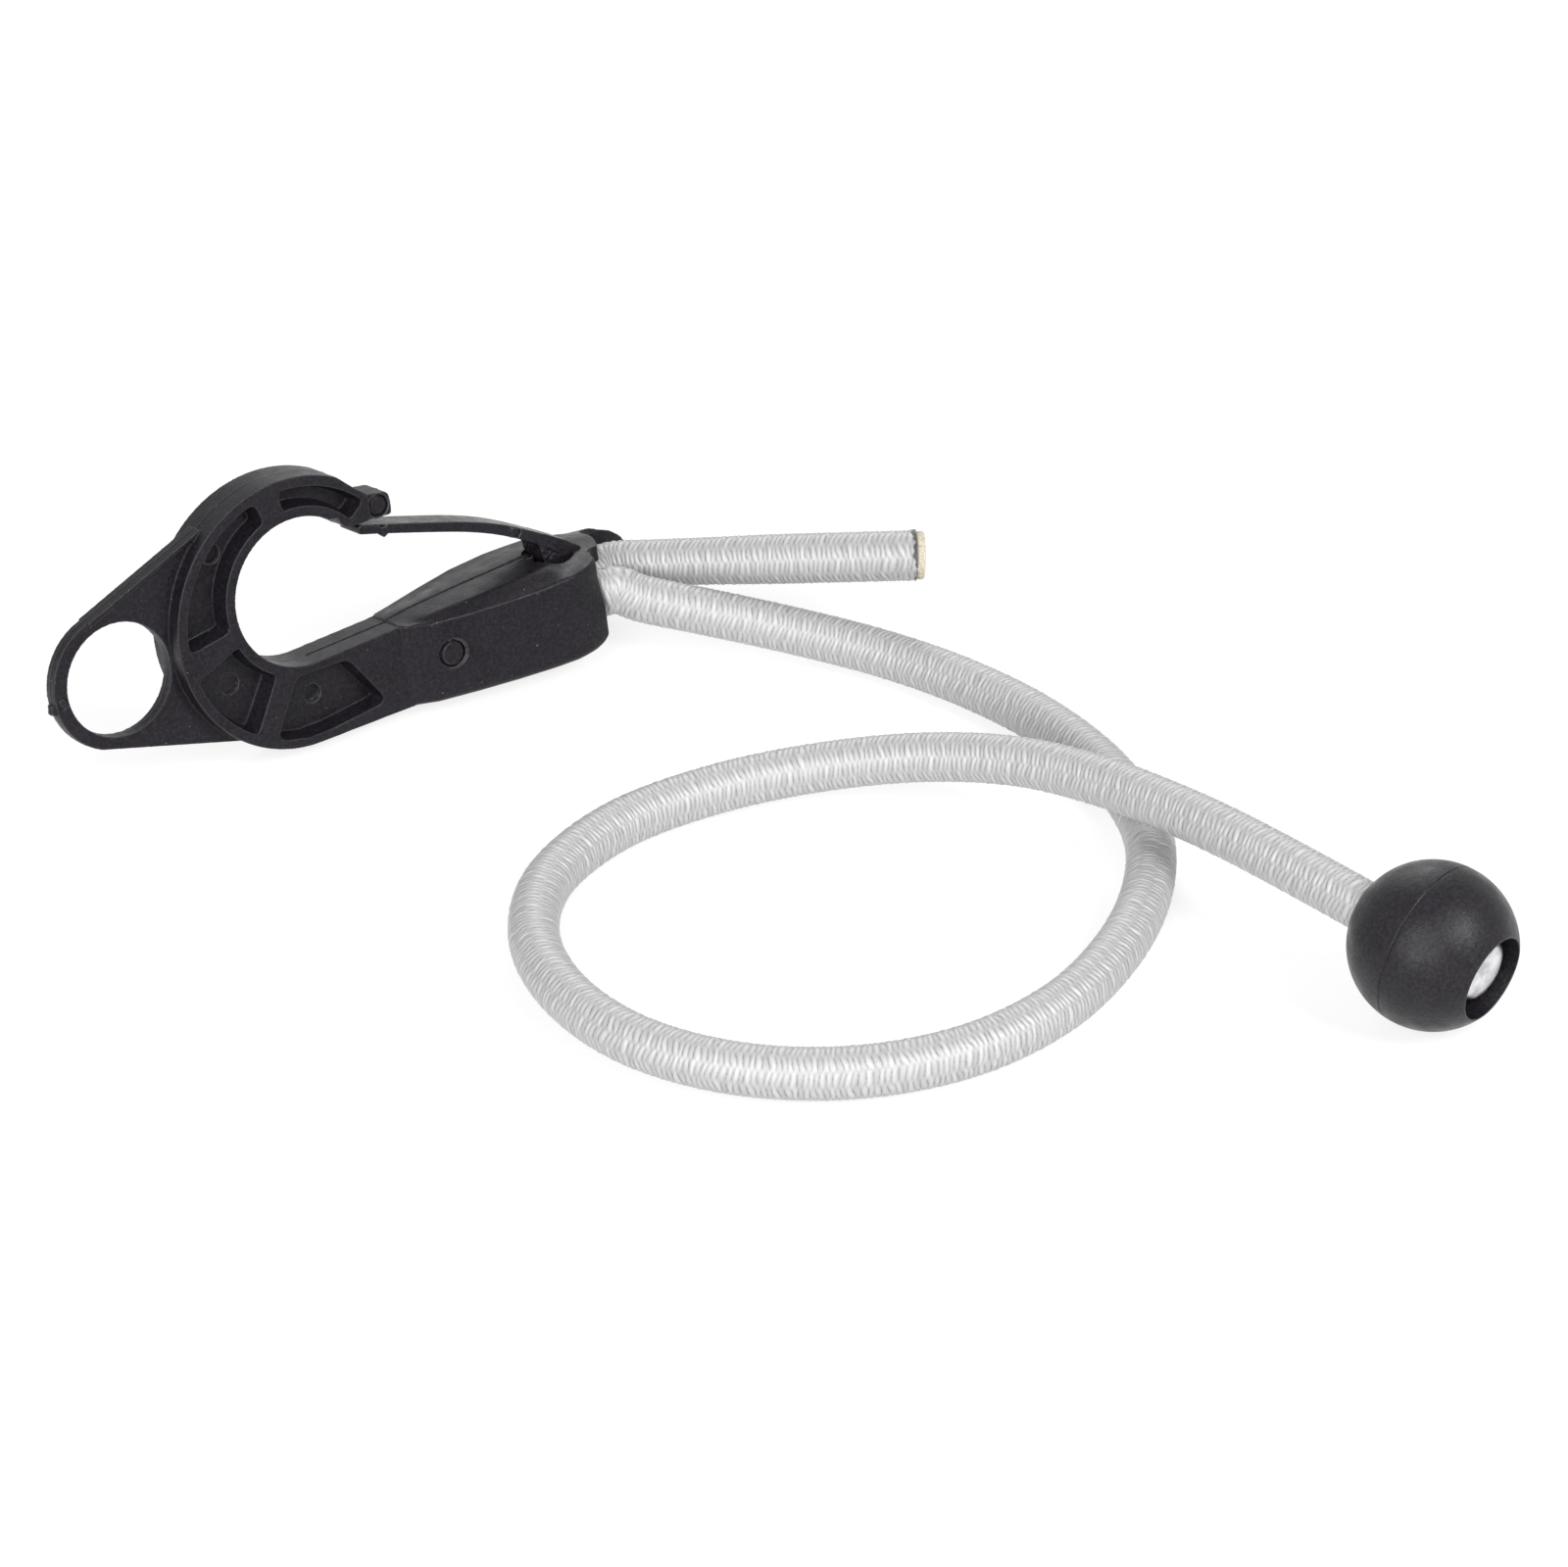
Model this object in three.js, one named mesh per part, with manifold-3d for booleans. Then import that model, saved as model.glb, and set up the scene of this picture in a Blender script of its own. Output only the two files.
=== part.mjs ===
// An elastic cord for tying down loads. A moulded snap hook holds the cord's loop in its sleeve,
// a short tail comes back out beside the long stretch, and a ball with a metal cap ends the cord.
// Millimetres, +Z up, +X along the hook's shank from the finger eye to the sleeve.

import * as THREE from "three";
import { mergeVertices } from "three/addons/utils/BufferGeometryUtils.js";
import Module from "manifold-3d";

// Cord
const CORD_DIAMETER = 8;
const SHEATH_WALL = 0.9;
const CORE_CLEARANCE = 0.3; // around the rubber core
const HELD_WIDTH = 5; // the loop is squeezed between the peg and the sleeve's walls
const HELD_HEIGHT = 9.2;
const TAIL_CORE_PROUD = 0.8; // the cut core stands out of the frayed sheath
const CORD_SIDES = 12;
const MAIN_STEPS = 26;
const TAIL_STEPS = 6;
const HELD_STEPS = 9;
const SEAT_GAP = 0.3; // between pieces that touch

// Hook ring, about the centre of its opening
const PLATE_THICKNESS = 8.2;
const OPENING_RADIUS = 12.25;
const RING_RADIUS = 22.4;
const RING_CENTRE = new THREE.Vector2(-0.96, -3.33);
const RING_END_ANGLE = 62.5; // degrees, where the ring's outside slopes down to the nose
const LIP_ANGLE = 56; // degrees, where the opening's edge turns into the lip
const RING_WALL = RING_RADIUS - RING_CENTRE.length() - OPENING_RADIUS; // where the ring is thinnest
const RIM_WIDTH = 0.262 * RING_WALL; // of the ring's outer rim and of the rim round its opening
const WEB_THICKNESS = 1.4;
const POCKET_DRAFT = 0.075 * RING_WALL;
const POCKET_CORNER = 0.2 * RING_WALL;
const MARK_DEPTH = 0.4;
const HOOK_LEAN = THREE.MathUtils.degToRad(11);
const HOOK_PLACE = new THREE.Vector2(-28.44, 88.73);

// Nose
const NOSE_WIDTH = 5.6;
const NOSE_TIP = 19.2;
const NOSE_TOP = 11.65;
const NOSE_FOOT = 7.4; // height of the face that the gate shuts against
const LIP_START = 10.7;
const LIP_END = 14.5;
const LIP_FOOT = 7.75; // the ring's own end stops a little higher than the nose
const LIP_ROUND = 2.1; // the lip hooks down from the opening's edge in a round
const LIP_CHAMFER = 0.5;
const SHOULDER = 2.2; // sloped end of the ring above the nose

// Finger eye
const EYE_CENTRE = new THREE.Vector2(-33.05, -5.1);
const EYE_RADIUS = 9.3;
const EYE_WALL = 2; // round its outer side
const EYE_BACK = 0.45; // the outline's round end lies this far behind the hole's centre
const EYE_THICKNESS = 2.5;
const EYE_BEAD = 0.9; // width of a bead along the web's upper edge
const EYE_BEAD_THICKNESS = 3.3;

// Sleeve, along the hook's shank
const SLEEVE_START = 16.6;
const SLEEVE_ROOT = PLATE_THICKNESS / 2; // half width where it grows out of the shank
const SLEEVE_WALL = 1.3;
const CAVITY_START = 40;
const CAVITY_ROOF = -12.2;
const CAVITY_FLOOR = -22.4;
const MOUTH_FRONT = 53.9;
const MOUTH_CORNER = 6.4; // its lower corner is rounded off
const WINDOW_START = 46.4;
const WINDOW_LENGTH = 7.6;
const WINDOW_WIDTH = 6.4;

// Gate, a leaf that bends at its root and opens into the hook
const GATE_WIDTH = 5.7;
const GATE_THICKNESS = 2; // at its root
const GATE_TIP_THICKNESS = 1.5;
const NUB_TOP = [17.05, 5.8];
const NUB_RADIUS = 0.85;
const NUB_LENGTH = 2.1;
const GATE_HINGE = new THREE.Vector2(50.4, -7.7);
const GATE_ROOT = -8.9; // the leaf is cut off level here, over the head of its anchor
const ROOT_CLEARANCE = 0.45; // room for the root to rock
const PEG_CENTRE = new THREE.Vector2(48.3, -1.4); // along the shank and across it
const PEG_THICKNESS = 3;
const PEG_LENGTH = 5.5;
const PEG_TURN = THREE.MathUtils.degToRad(16); // the loop's legs point a little to the front
const FRONT_LEG = 9;
const BACK_LEG = 5;
const LEG_LEAD = 1.5; // each free stretch leaves its leg straight
const LEG_HEIGHT = -17.2;

// Ball and end cap
const BALL_DIAMETER = 25.6;
const BALL_PLACE = new THREE.Vector2(60.45, -84.3);
const BALL_HEADING = THREE.MathUtils.degToRad(-77);
const BALL_DIP = THREE.MathUtils.degToRad(8);
const BORE_CLEARANCE = 0.35;
const BORE_FLARE = 0.8;
const COUNTERBORE_DIAMETER = 13.4;
const COUNTERBORE_FLOOR = 1; // past the ball's middle
const CAP_DIAMETER = 10.8;
const CAP_LENGTH = 9.2;
const CAP_DOME = 2.2;
const CAP_END = 1.2; // thickness of its closed end
const ROUND_SEGMENTS = 40;

// Free cord, points chosen by hand on the surface that the cord lies on
const MAIN_ROUTE = [
  [32.2, 77.2, 9.3],
  [38.7, 70.8, 7.8],
  [49.4, 59.8, 5.4],
  [58.3, 45.7, 4.2],
  [63.3, 30.1, 4.15],
  [65.5, 12.5, 4.15],
  [63.5, -6.5, 4.15],
  [56.2, -24.6, 4.15],
  [44.8, -37.6, 4.15],
  [30.6, -47.4, 4.15],
  [14, -53.9, 4.15],
  [-3.8, -54.8, 4.15],
  [-20.3, -49.3, 4.15],
  [-33.2, -38.5, 4.15],
  [-41, -23.7, 4.15],
  [-42.2, -7.5, 4.15],
  [-37.3, 8.1, 4.15],
  [-26.3, 20.4, 4.15],
  [-8.8, 27.4, 4.2],
  [9.7, 26.9, 4.5],
  [25.7, 20.4, 6],
  [38.4, 8.8, 8.9],
  [46.4, -4.6, 11.6],
  [51, -19.1, 13.3],
  [53.4, -34.5, 14.6],
  [54.7, -48, 15.3],
];
const TAIL_ROUTE = [
  [33.8, 88.4, 10],
  [39.4, 82.9, 11.1],
  [48.6, 71.9, 13.4],
];
const TAIL_END = new THREE.Vector3(68.1, 48.7, 18);

const black = new THREE.MeshStandardMaterial({ color: 0x1d1d1f, roughness: 0.55, metalness: 0 });
const ballBlack = new THREE.MeshStandardMaterial({ color: 0x141416, roughness: 0.35, metalness: 0 });
const braid = new THREE.MeshStandardMaterial({ color: 0xd9dadc, roughness: 0.5, metalness: 0 });
const rubber = new THREE.MeshStandardMaterial({ color: 0xcdbfa6, roughness: 0.8, metalness: 0 });
const steel = new THREE.MeshStandardMaterial({ color: 0xb9babc, roughness: 0.3, metalness: 1 });

const wasm = await Module();
wasm.setup();

// Solids for joins and cuts

function solidOf(geometry) {
  const bare = geometry.index ? geometry.toNonIndexed() : geometry.clone();
  bare.deleteAttribute("normal");
  bare.deleteAttribute("uv");
  const merged = mergeVertices(bare, 1e-4);
  const corners = merged.index.array;
  const kept = [];
  for (let i = 0; i < corners.length; i += 3) {
    const [a, b, c] = corners.slice(i, i + 3);
    if (a !== b && b !== c && c !== a) kept.push(a, b, c);
  }
  const vertProperties = merged.attributes.position.array;
  const triVerts = new Uint32Array(kept);
  return new wasm.Manifold(new wasm.Mesh({ numProp: 3, vertProperties, triVerts }));
}

function geometryOf(solid) {
  const mesh = solid.getMesh();
  const geometry = new THREE.BufferGeometry();
  geometry.setAttribute("position", new THREE.BufferAttribute(mesh.vertProperties, 3));
  geometry.setIndex(new THREE.BufferAttribute(mesh.triVerts, 1));
  geometry.computeVertexNormals();
  return geometry;
}

function joined(solids) {
  return solids.reduce((whole, solid) => whole.add(solid));
}

function cut(solid, cutters) {
  return cutters.reduce((rest, cutter) => rest.subtract(cutter), solid);
}

// Outlines and plates

// A closed outline through corners [x, y, radius]; a radius of 0 keeps the corner sharp. Two rounds
// on one side never meet, so that outlines with the same corners have equally many points.
function outline(corners) {
  const shape = new THREE.Shape();
  corners.forEach(([x, y, radius], i) => {
    const here = new THREE.Vector2(x, y);
    const before = new THREE.Vector2(...corners.at(i - 1)).sub(here);
    const after = new THREE.Vector2(...corners[(i + 1) % corners.length]).sub(here);
    const start = here.clone().add(before.setLength(Math.min(radius, 0.48 * before.length())));
    const end = here.clone().add(after.setLength(Math.min(radius, 0.48 * after.length())));
    if (i === 0) shape.moveTo(start.x, start.y);
    else shape.lineTo(start.x, start.y);
    if (radius > 0) shape.quadraticCurveTo(x, y, end.x, end.y);
  });
  shape.closePath();
  return shape;
}

// A plate whose outline lies in the hook's plane, centred on that plane.
function plate(shape, thickness) {
  const geometry = new THREE.ExtrudeGeometry(shape, {
    depth: thickness,
    bevelEnabled: false,
    curveSegments: ROUND_SEGMENTS,
  });
  return solidOf(geometry.translate(0, 0, -thickness / 2));
}

// A prism whose plan is drawn along and across the shank, from the height top down to bottom.
function prism(shape, top, bottom) {
  const geometry = new THREE.ExtrudeGeometry(shape, {
    depth: top - bottom,
    bevelEnabled: false,
    curveSegments: 8,
  });
  return solidOf(geometry.rotateX(Math.PI / 2).translate(0, top, 0));
}

function disc(x, y, radius, thickness, z = 0) {
  const geometry = new THREE.CylinderGeometry(radius, radius, thickness, ROUND_SEGMENTS);
  return solidOf(geometry.rotateX(Math.PI / 2).translate(x, y, z));
}

function rectangle(left, right, low, high) {
  return outline([[left, low, 0], [right, low, 0], [right, high, 0], [left, high, 0]]);
}

function arcPoints(centre, radius, from, to, count) {
  return Array.from({ length: count + 1 }, (_, i) => {
    const angle = THREE.MathUtils.degToRad(from + ((to - from) * i) / count);
    return [centre.x + radius * Math.cos(angle), centre.y + radius * Math.sin(angle), 0];
  });
}

// A skin over cross-sections that run anticlockwise, closed at both ends. The function flat draws
// a section in two axes.
function loft(sections, flat) {
  const count = sections[0].length;
  const positions = sections.flat().flatMap((point) => point.toArray());
  const faces = [];
  sections.slice(1).forEach((_, s) => {
    for (let i = 0; i < count; i++) {
      const a = s * count + i;
      const b = s * count + ((i + 1) % count);
      faces.push(a, b, a + count, b, b + count, a + count);
    }
  });
  const last = (sections.length - 1) * count;
  const lid = (section) => THREE.ShapeUtils.triangulateShape(section.map(flat), []);
  lid(sections[0]).forEach(([a, b, c]) => faces.push(a, c, b));
  lid(sections.at(-1)).forEach(([a, b, c]) => faces.push(last + a, last + b, last + c));
  const geometry = new THREE.BufferGeometry();
  geometry.setAttribute("position", new THREE.Float32BufferAttribute(positions, 3));
  geometry.setIndex(faces);
  return solidOf(geometry);
}

// Hook: ring and nose

const RING_BOTTOM = RING_CENTRE.y - RING_RADIUS;

function ringPlate() {
  const shape = new THREE.Shape();
  const end = THREE.MathUtils.degToRad(RING_END_ANGLE);
  const lip = THREE.MathUtils.degToRad(LIP_ANGLE);
  const shank = new THREE.Vector2(SLEEVE_START + 2, SLEEVE_STATIONS[0].rim);
  const tangent = shank.angle() - Math.acos(OPENING_RADIUS / shank.length());
  const lipTop = new THREE.Vector2(LIP_START - LIP_ROUND, LIP_FOOT + LIP_ROUND);
  shape.absarc(RING_CENTRE.x, RING_CENTRE.y, RING_RADIUS, end, -Math.PI / 2, false);
  shape.lineTo(shank.x, SLEEVE_STATIONS[0].bottom);
  shape.lineTo(shank.x, shank.y);
  shape.absarc(0, 0, OPENING_RADIUS, tangent, lip, true);
  shape.lineTo(lipTop.x, lipTop.y);
  shape.quadraticCurveTo(lipTop.x + 0.2, LIP_FOOT + 0.2, LIP_START, LIP_FOOT);
  shape.lineTo(LIP_END - LIP_CHAMFER, LIP_FOOT);
  shape.lineTo(LIP_END, LIP_FOOT + LIP_CHAMFER);
  shape.lineTo(LIP_END, NOSE_TOP + 0.5);
  shape.lineTo(LIP_END - SHOULDER, NOSE_TOP + SHOULDER);
  shape.closePath();
  return plate(shape, PLATE_THICKNESS);
}

function noseBlock() {
  const shape = outline([
    [LIP_START + 1, LIP_FOOT + 0.4, 0],
    [LIP_END, NOSE_FOOT, 0],
    [NOSE_TIP, NOSE_FOOT - 0.3, 0.8],
    [NOSE_TIP, NOSE_TOP - 0.5, 1.5],
    [LIP_END - 1, NOSE_TOP + 0.2, 0],
    [LIP_START + 1, NOSE_TOP, 0],
  ]);
  return plate(shape, NOSE_WIDTH);
}

// Pockets in both faces of the ring, between radial ribs. Each is a function that gives its outline,
// drawn in by an inset.

const POCKET_OUTER = RING_RADIUS - RIM_WIDTH;
const POCKET_INNER = OPENING_RADIUS + RIM_WIDTH;

// A ray from the opening's centre meets a circle about the ring's centre.
function onRing(angle, radius) {
  const ray = new THREE.Vector2(Math.cos(angle), Math.sin(angle));
  const along = ray.dot(RING_CENTRE);
  const reach = along + Math.sqrt(radius ** 2 - RING_CENTRE.lengthSq() + along ** 2);
  return [reach * ray.x, reach * ray.y, 0];
}

function ringPocket(fromDegrees, toDegrees) {
  return (inset) => {
    const steps = 10;
    const turn = inset / POCKET_INNER;
    const from = THREE.MathUtils.degToRad(fromDegrees) + turn;
    const to = THREE.MathUtils.degToRad(toDegrees) - turn;
    const angles = Array.from({ length: steps + 1 }, (_, i) => from + ((to - from) * i) / steps);
    const outside = angles.map((angle) => onRing(angle, POCKET_OUTER - inset));
    const inner = POCKET_INNER + inset;
    const onOpening = (angle) => [inner * Math.cos(angle), inner * Math.sin(angle), 0];
    const inside = angles.reverse().map(onOpening);
    for (const side of [outside, inside]) {
      side[0][2] = POCKET_CORNER;
      side.at(-1)[2] = POCKET_CORNER;
    }
    return outline([...outside, ...inside]);
  };
}

function shankPocket(inset) {
  const top = 0.35 - OPENING_RADIUS - RIM_WIDTH - inset;
  const bottom = RING_BOTTOM + RIM_WIDTH + inset;
  return outline([
    [6.4 - inset, top, POCKET_CORNER],
    [-3.4 + inset, top, POCKET_CORNER],
    [-8.6 + inset, bottom + 1, 1.4 * POCKET_CORNER],
    [-3, bottom - 0.2, 0],
    [2, bottom - 0.1, 0],
    [12.6 - inset, bottom + 1.2, 1.6 * POCKET_CORNER],
  ]);
}

// Cutters with drafted walls, one for each face.
function pocketCutters(pocket) {
  const depth = (PLATE_THICKNESS - WEB_THICKNESS) / 2;
  const face = PLATE_THICKNESS / 2;
  const above = face + 1;
  const layer = (inset, z) => {
    const points = pocket(inset).getPoints(4).slice(0, -1);
    return points.map(({ x, y }) => new THREE.Vector3(x, y, z));
  };
  const flat = ({ x, y }) => new THREE.Vector2(x, y);
  const front = loft([layer(POCKET_DRAFT, face - depth), layer(0, face), layer(0, above)], flat);
  const back = loft([layer(0, -above), layer(0, -face), layer(POCKET_DRAFT, depth - face)], flat);
  return [front, back];
}

// Finger eye, a flat web that runs into the ring

function eyePlate() {
  const back = new THREE.Vector2(EYE_CENTRE.x - EYE_BACK, EYE_CENTRE.y);
  const round = arcPoints(back, EYE_RADIUS + EYE_WALL, 108, 246, 18);
  const inRing = -15;
  const top = 14.6;
  const [startX, startY] = round[0];
  const web = outline([...round, [inRing, -21.6, 0], [inRing, top, 0]]);
  const bead = outline([
    [inRing, top, 0],
    [startX, startY, 0],
    [startX + 0.3, startY - EYE_BEAD, 0],
    [inRing, top - EYE_BEAD, 0],
  ]);
  return plate(web, EYE_THICKNESS).add(plate(bead, EYE_BEAD_THICKNESS));
}

// Sleeve: cross-sections along the shank, with a crowned top that falls further to the front than to the back

const SLEEVE_STATIONS = [
  { u: SLEEVE_START, half: SLEEVE_ROOT, crest: -11.1, rim: -11.2, back: -11.2, bottom: -25.3, round: 0.4 },
  { u: 17.4, half: 5, crest: -10.95, rim: -11.3, back: -11.3, bottom: -25.3, round: 0.4 },
  { u: 21, half: 6.7, crest: -10.35, rim: -11.5, back: -11.5, bottom: -25.4, round: 0.4 },
  { u: 28, half: 8.2, crest: -9.65, rim: -11.4, back: -10.8, bottom: -25.4, round: 0.4 },
  { u: 35, half: 9.1, crest: -9.1, rim: -11.3, back: -9.95, bottom: -25.5, round: 0.4 },
  { u: 42, half: 9.8, crest: -8.6, rim: -11, back: -9.55, bottom: -25.5, round: 0.6 },
  { u: 46.4, half: 10.05, crest: -8.3, rim: -10.6, back: -9.6, bottom: -25.4, round: 0.5 },
  { u: 50, half: 10.1, crest: -9, rim: -10.2, back: -9.6, bottom: -25, round: 0.6 },
  { u: 54, half: 10.1, crest: -9.2, rim: -10, back: -9.85, bottom: -24.3, round: 1.5 },
  { u: 58, half: 10.2, crest: -9.3, rim: -10.6, back: -10.6, bottom: -23.8, round: 3 },
  { u: 63, half: 10.2, crest: -10, rim: -11, back: -11, bottom: -23.6, round: 3 },
  { u: 67, half: 10.2, crest: -11.5, rim: -12.3, back: -12.3, bottom: -23.6, round: 3 },
  { u: 70, half: 10.2, crest: -13.4, rim: -14.2, back: -14.2, bottom: -23.6, round: 3 },
  { u: 72, half: 10.2, crest: -15.2, rim: -15.9, back: -15.9, bottom: -23.6, round: 3 },
];

function sleeveSide(rim, { half, crest, bottom, round }) {
  const points = [];
  const corner = 1.4;
  const crownSteps = 8;
  const roundSteps = 4;
  const flat = half - round;
  const crown = (n) => crest + (rim - crest) * THREE.MathUtils.smoothstep(n, 0, half);
  for (let i = 0; i <= crownSteps; i++) {
    const n = (flat * i) / crownSteps;
    points.push([n, crown(n)]);
  }
  for (let i = 1; i <= roundSteps; i++) {
    const angle = (Math.PI / 2) * (i / roundSteps);
    points.push([flat + round * Math.sin(angle), crown(flat) - round * (1 - Math.cos(angle))]);
  }
  for (let i = 0; i <= roundSteps; i++) {
    const angle = (Math.PI / 2) * (i / roundSteps);
    points.push([half - corner * (1 - Math.cos(angle)), bottom + corner * (1 - Math.sin(angle))]);
  }
  return points;
}

function sleeveSection(station) {
  const front = sleeveSide(station.rim, station);
  const back = sleeveSide(station.back, station).slice(1).reverse();
  const points = [...front, ...back.map(([n, v]) => [-n, v])];
  return points.map(([n, v]) => new THREE.Vector3(station.u, v, n));
}

function sleeveCavity() {
  const inner = SLEEVE_STATIONS.filter(({ u }) => u > CAVITY_START);
  const front = inner.map(({ u, half }) => [u, half - SLEEVE_WALL, 0]);
  const end = inner.at(-1).u + 2;
  const startHalf = front[0][1] - SLEEVE_WALL;
  const back = front.map(([u, half]) => [u, -half, 0]).reverse();
  const plan = [
    [CAVITY_START, -startHalf, 2.5],
    [CAVITY_START, startHalf, 2.5],
    ...front,
    [end, front.at(-1)[1], 0],
    [end, -front.at(-1)[1], 0],
    ...back,
  ];
  return prism(outline(plan), CAVITY_ROOF, CAVITY_FLOOR);
}

// The mouth is cut slantwise, so that the back wall reaches further out than the front one.
function mouthCutter() {
  const edge = new THREE.SplineCurve(
    [
      [52.4, 14],
      [53.2, 9.5],
      [55.6, 5],
      [57.4, 1.5],
      [58.5, -2.5],
      [59.1, -5.4],
      [60.6, -7.6],
      [64, -8.7],
      [68, -9.1],
      [70.8, -10.2],
      [72.6, -14],
    ].map(([u, n]) => new THREE.Vector2(u, n)),
  );
  const far = 80;
  const plan = [...edge.getPoints(24).map(({ x, y }) => [x, y, 0]), [far, -14, 0], [far, 14, 0]];
  return prism(outline(plan), 0, -40);
}

// Rounds the lower corner of the mouth, up to the back wall.
function mouthCorner() {
  const shape = outline([
    [MOUTH_FRONT, -16, 0],
    [MOUTH_FRONT, -24.3, MOUTH_CORNER],
    [42, -25.9, 0],
    [42, -30, 0],
    [60, -30, 0],
    [60, -16, 0],
  ]);
  const back = -6;
  const depth = 20;
  return plate(shape, depth).translate(0, 0, back + depth / 2);
}

function gateWindow() {
  const half = WINDOW_WIDTH / 2;
  const end = WINDOW_START + WINDOW_LENGTH;
  const plan = outline([
    [WINDOW_START, -half, 1],
    [end, -half, half],
    [end, half, half],
    [WINDOW_START, half, 1],
  ]);
  return prism(plan, 0, CAVITY_ROOF - 1);
}

// A hollow dished into the deck round the gate's root.
function deckScoop() {
  const scoop = new THREE.SphereGeometry(1, 32, 20);
  return solidOf(scoop.scale(4.4, 2.6, 4.6).translate(WINDOW_START + 1.8, -8.4, 1.4));
}

// Round marks that the mould's ejector pins leave: place, radius and level of the face.

function ejectorMarks() {
  const floor = WEB_THICKNESS / 2;
  const marks = [
    [-13.4, 9.8, 1.4, floor],
    [-13.8, -12.2, 1.5, floor],
    [0.8, -18.5, 1.3, floor],
    [16.85, 9.2, 1.7, NOSE_WIDTH / 2],
    [24.05, -17.45, 2.2, 7.45],
  ];
  const reach = 2;
  const lift = reach / 2 - MARK_DEPTH;
  return marks.map(([u, v, radius, level]) => disc(u, v, radius, reach, level + lift));
}

function hookBody() {
  const sleeve = loft(SLEEVE_STATIONS.map(sleeveSection), ({ y, z }) => new THREE.Vector2(y, z));
  const blank = joined([ringPlate(), noseBlock(), eyePlate(), sleeve]);
  const pockets = [ringPocket(40, 95), ringPocket(110, 190.5), ringPocket(203, 240.5), shankPocket];
  return cut(blank, [
    disc(EYE_CENTRE.x, EYE_CENTRE.y, EYE_RADIUS, EYE_THICKNESS * 3),
    disc(0, 0, OPENING_RADIUS, EYE_THICKNESS * 2),
    ...pockets.flatMap(pocketCutters),
    sleeveCavity(),
    mouthCutter(),
    mouthCorner(),
    gateWindow(),
    deckScoop(),
    ...ejectorMarks(),
  ]);
}

// Gate: the leaf and the peg that roots it in the sleeve

// The leaf grows thicker on its underside, from the tip to the root.
function gateLeaf() {
  const spine = new THREE.SplineCurve(
    [
      [12.5, 6.35],
      [16.3, 5.4],
      [20, 4.45],
      [27.8, 2.3],
      [33, 0.75],
      [38, -1.1],
      [42.8, -3.4],
      [48.2, -6.4],
      [GATE_HINGE.x, GATE_HINGE.y],
      [54.6, -10.4],
    ].map(([u, v]) => new THREE.Vector2(u, v)),
  );
  const steps = 20;
  const half = GATE_TIP_THICKNESS / 2;
  const side = (sign) =>
    Array.from({ length: steps + 1 }, (_, i) => {
      const share = i / steps;
      const point = spine.getPoint(share);
      const along = spine.getTangent(share);
      const off = sign > 0 ? half : THREE.MathUtils.lerp(half, GATE_THICKNESS - half, share);
      return [point.x - sign * off * along.y, point.y + sign * off * along.x, 0];
    });
  const above = side(1);
  const below = side(-1);
  above[0][2] = half;
  below[0][2] = half;
  const shape = outline([...below, ...above.reverse()]);
  const underRoot = prism(rectangle(40, 60, -GATE_WIDTH, GATE_WIDTH), GATE_ROOT, GATE_ROOT - 10);
  const mark = disc(41.5, -2.85, 0.9, MARK_DEPTH, GATE_WIDTH / 2);
  return cut(plate(shape, GATE_WIDTH), [underRoot, mark]).add(gateNub());
}

// What is left of the sprue, a short pin on the leaf's side that ends in a point below it.
function gateNub() {
  const [u, top] = NUB_TOP;
  const point = top - NUB_LENGTH;
  const shoulder = top - 0.65 * NUB_LENGTH;
  const pin = turned([[0, point], [NUB_RADIUS, shoulder], [NUB_RADIUS, top], [0, top]]);
  return pin.translate(u, 0, GATE_WIDTH / 2);
}

// A plan point, measured from the peg's centre along and across the loop's legs.
function inLoop(along, across) {
  return new THREE.Vector2(along, across).rotateAround(new THREE.Vector2(), PEG_TURN).add(PEG_CENTRE);
}

// A plan rounded at both ends, from the peg's centre along the loop's legs.
function pegPlan(radius) {
  const shape = new THREE.Shape();
  const far = inLoop(PEG_LENGTH - PEG_THICKNESS, 0);
  const left = PEG_TURN + Math.PI / 2;
  shape.absarc(PEG_CENTRE.x, PEG_CENTRE.y, radius, left, left + Math.PI, false);
  shape.absarc(far.x, far.y, radius, left + Math.PI, left + 2 * Math.PI, false);
  shape.closePath();
  return shape;
}

function gateAnchor() {
  const start = WINDOW_START + SEAT_GAP;
  const end = WINDOW_START + WINDOW_LENGTH - SEAT_GAP;
  const half = WINDOW_WIDTH / 2 - SEAT_GAP;
  const plan = outline([
    [start, -half, 1],
    [end, -half, half],
    [end, half, half],
    [start, half, 1],
  ]);
  const headTop = GATE_ROOT - ROOT_CLEARANCE;
  const head = prism(plan, headTop, LEG_HEIGHT + HELD_HEIGHT / 2 + SEAT_GAP);
  const peg = prism(pegPlan(PEG_THICKNESS / 2), headTop, CAVITY_FLOOR + SEAT_GAP);
  return head.add(peg);
}

// Cord: a sheath and a core along each stretch

function sectionEllipse(halfHeight, halfWidth, sides) {
  return Array.from({ length: sides }, (_, i) => {
    const angle = (2 * Math.PI * (i + 0.5)) / sides;
    return new THREE.Vector2(halfHeight * Math.cos(angle), halfWidth * Math.sin(angle));
  });
}

function tube(section, hole, path, steps) {
  const shape = new THREE.Shape(section);
  if (hole) shape.holes.push(new THREE.Path(hole));
  return solidOf(new THREE.ExtrudeGeometry(shape, { steps, extrudePath: path }));
}

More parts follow.
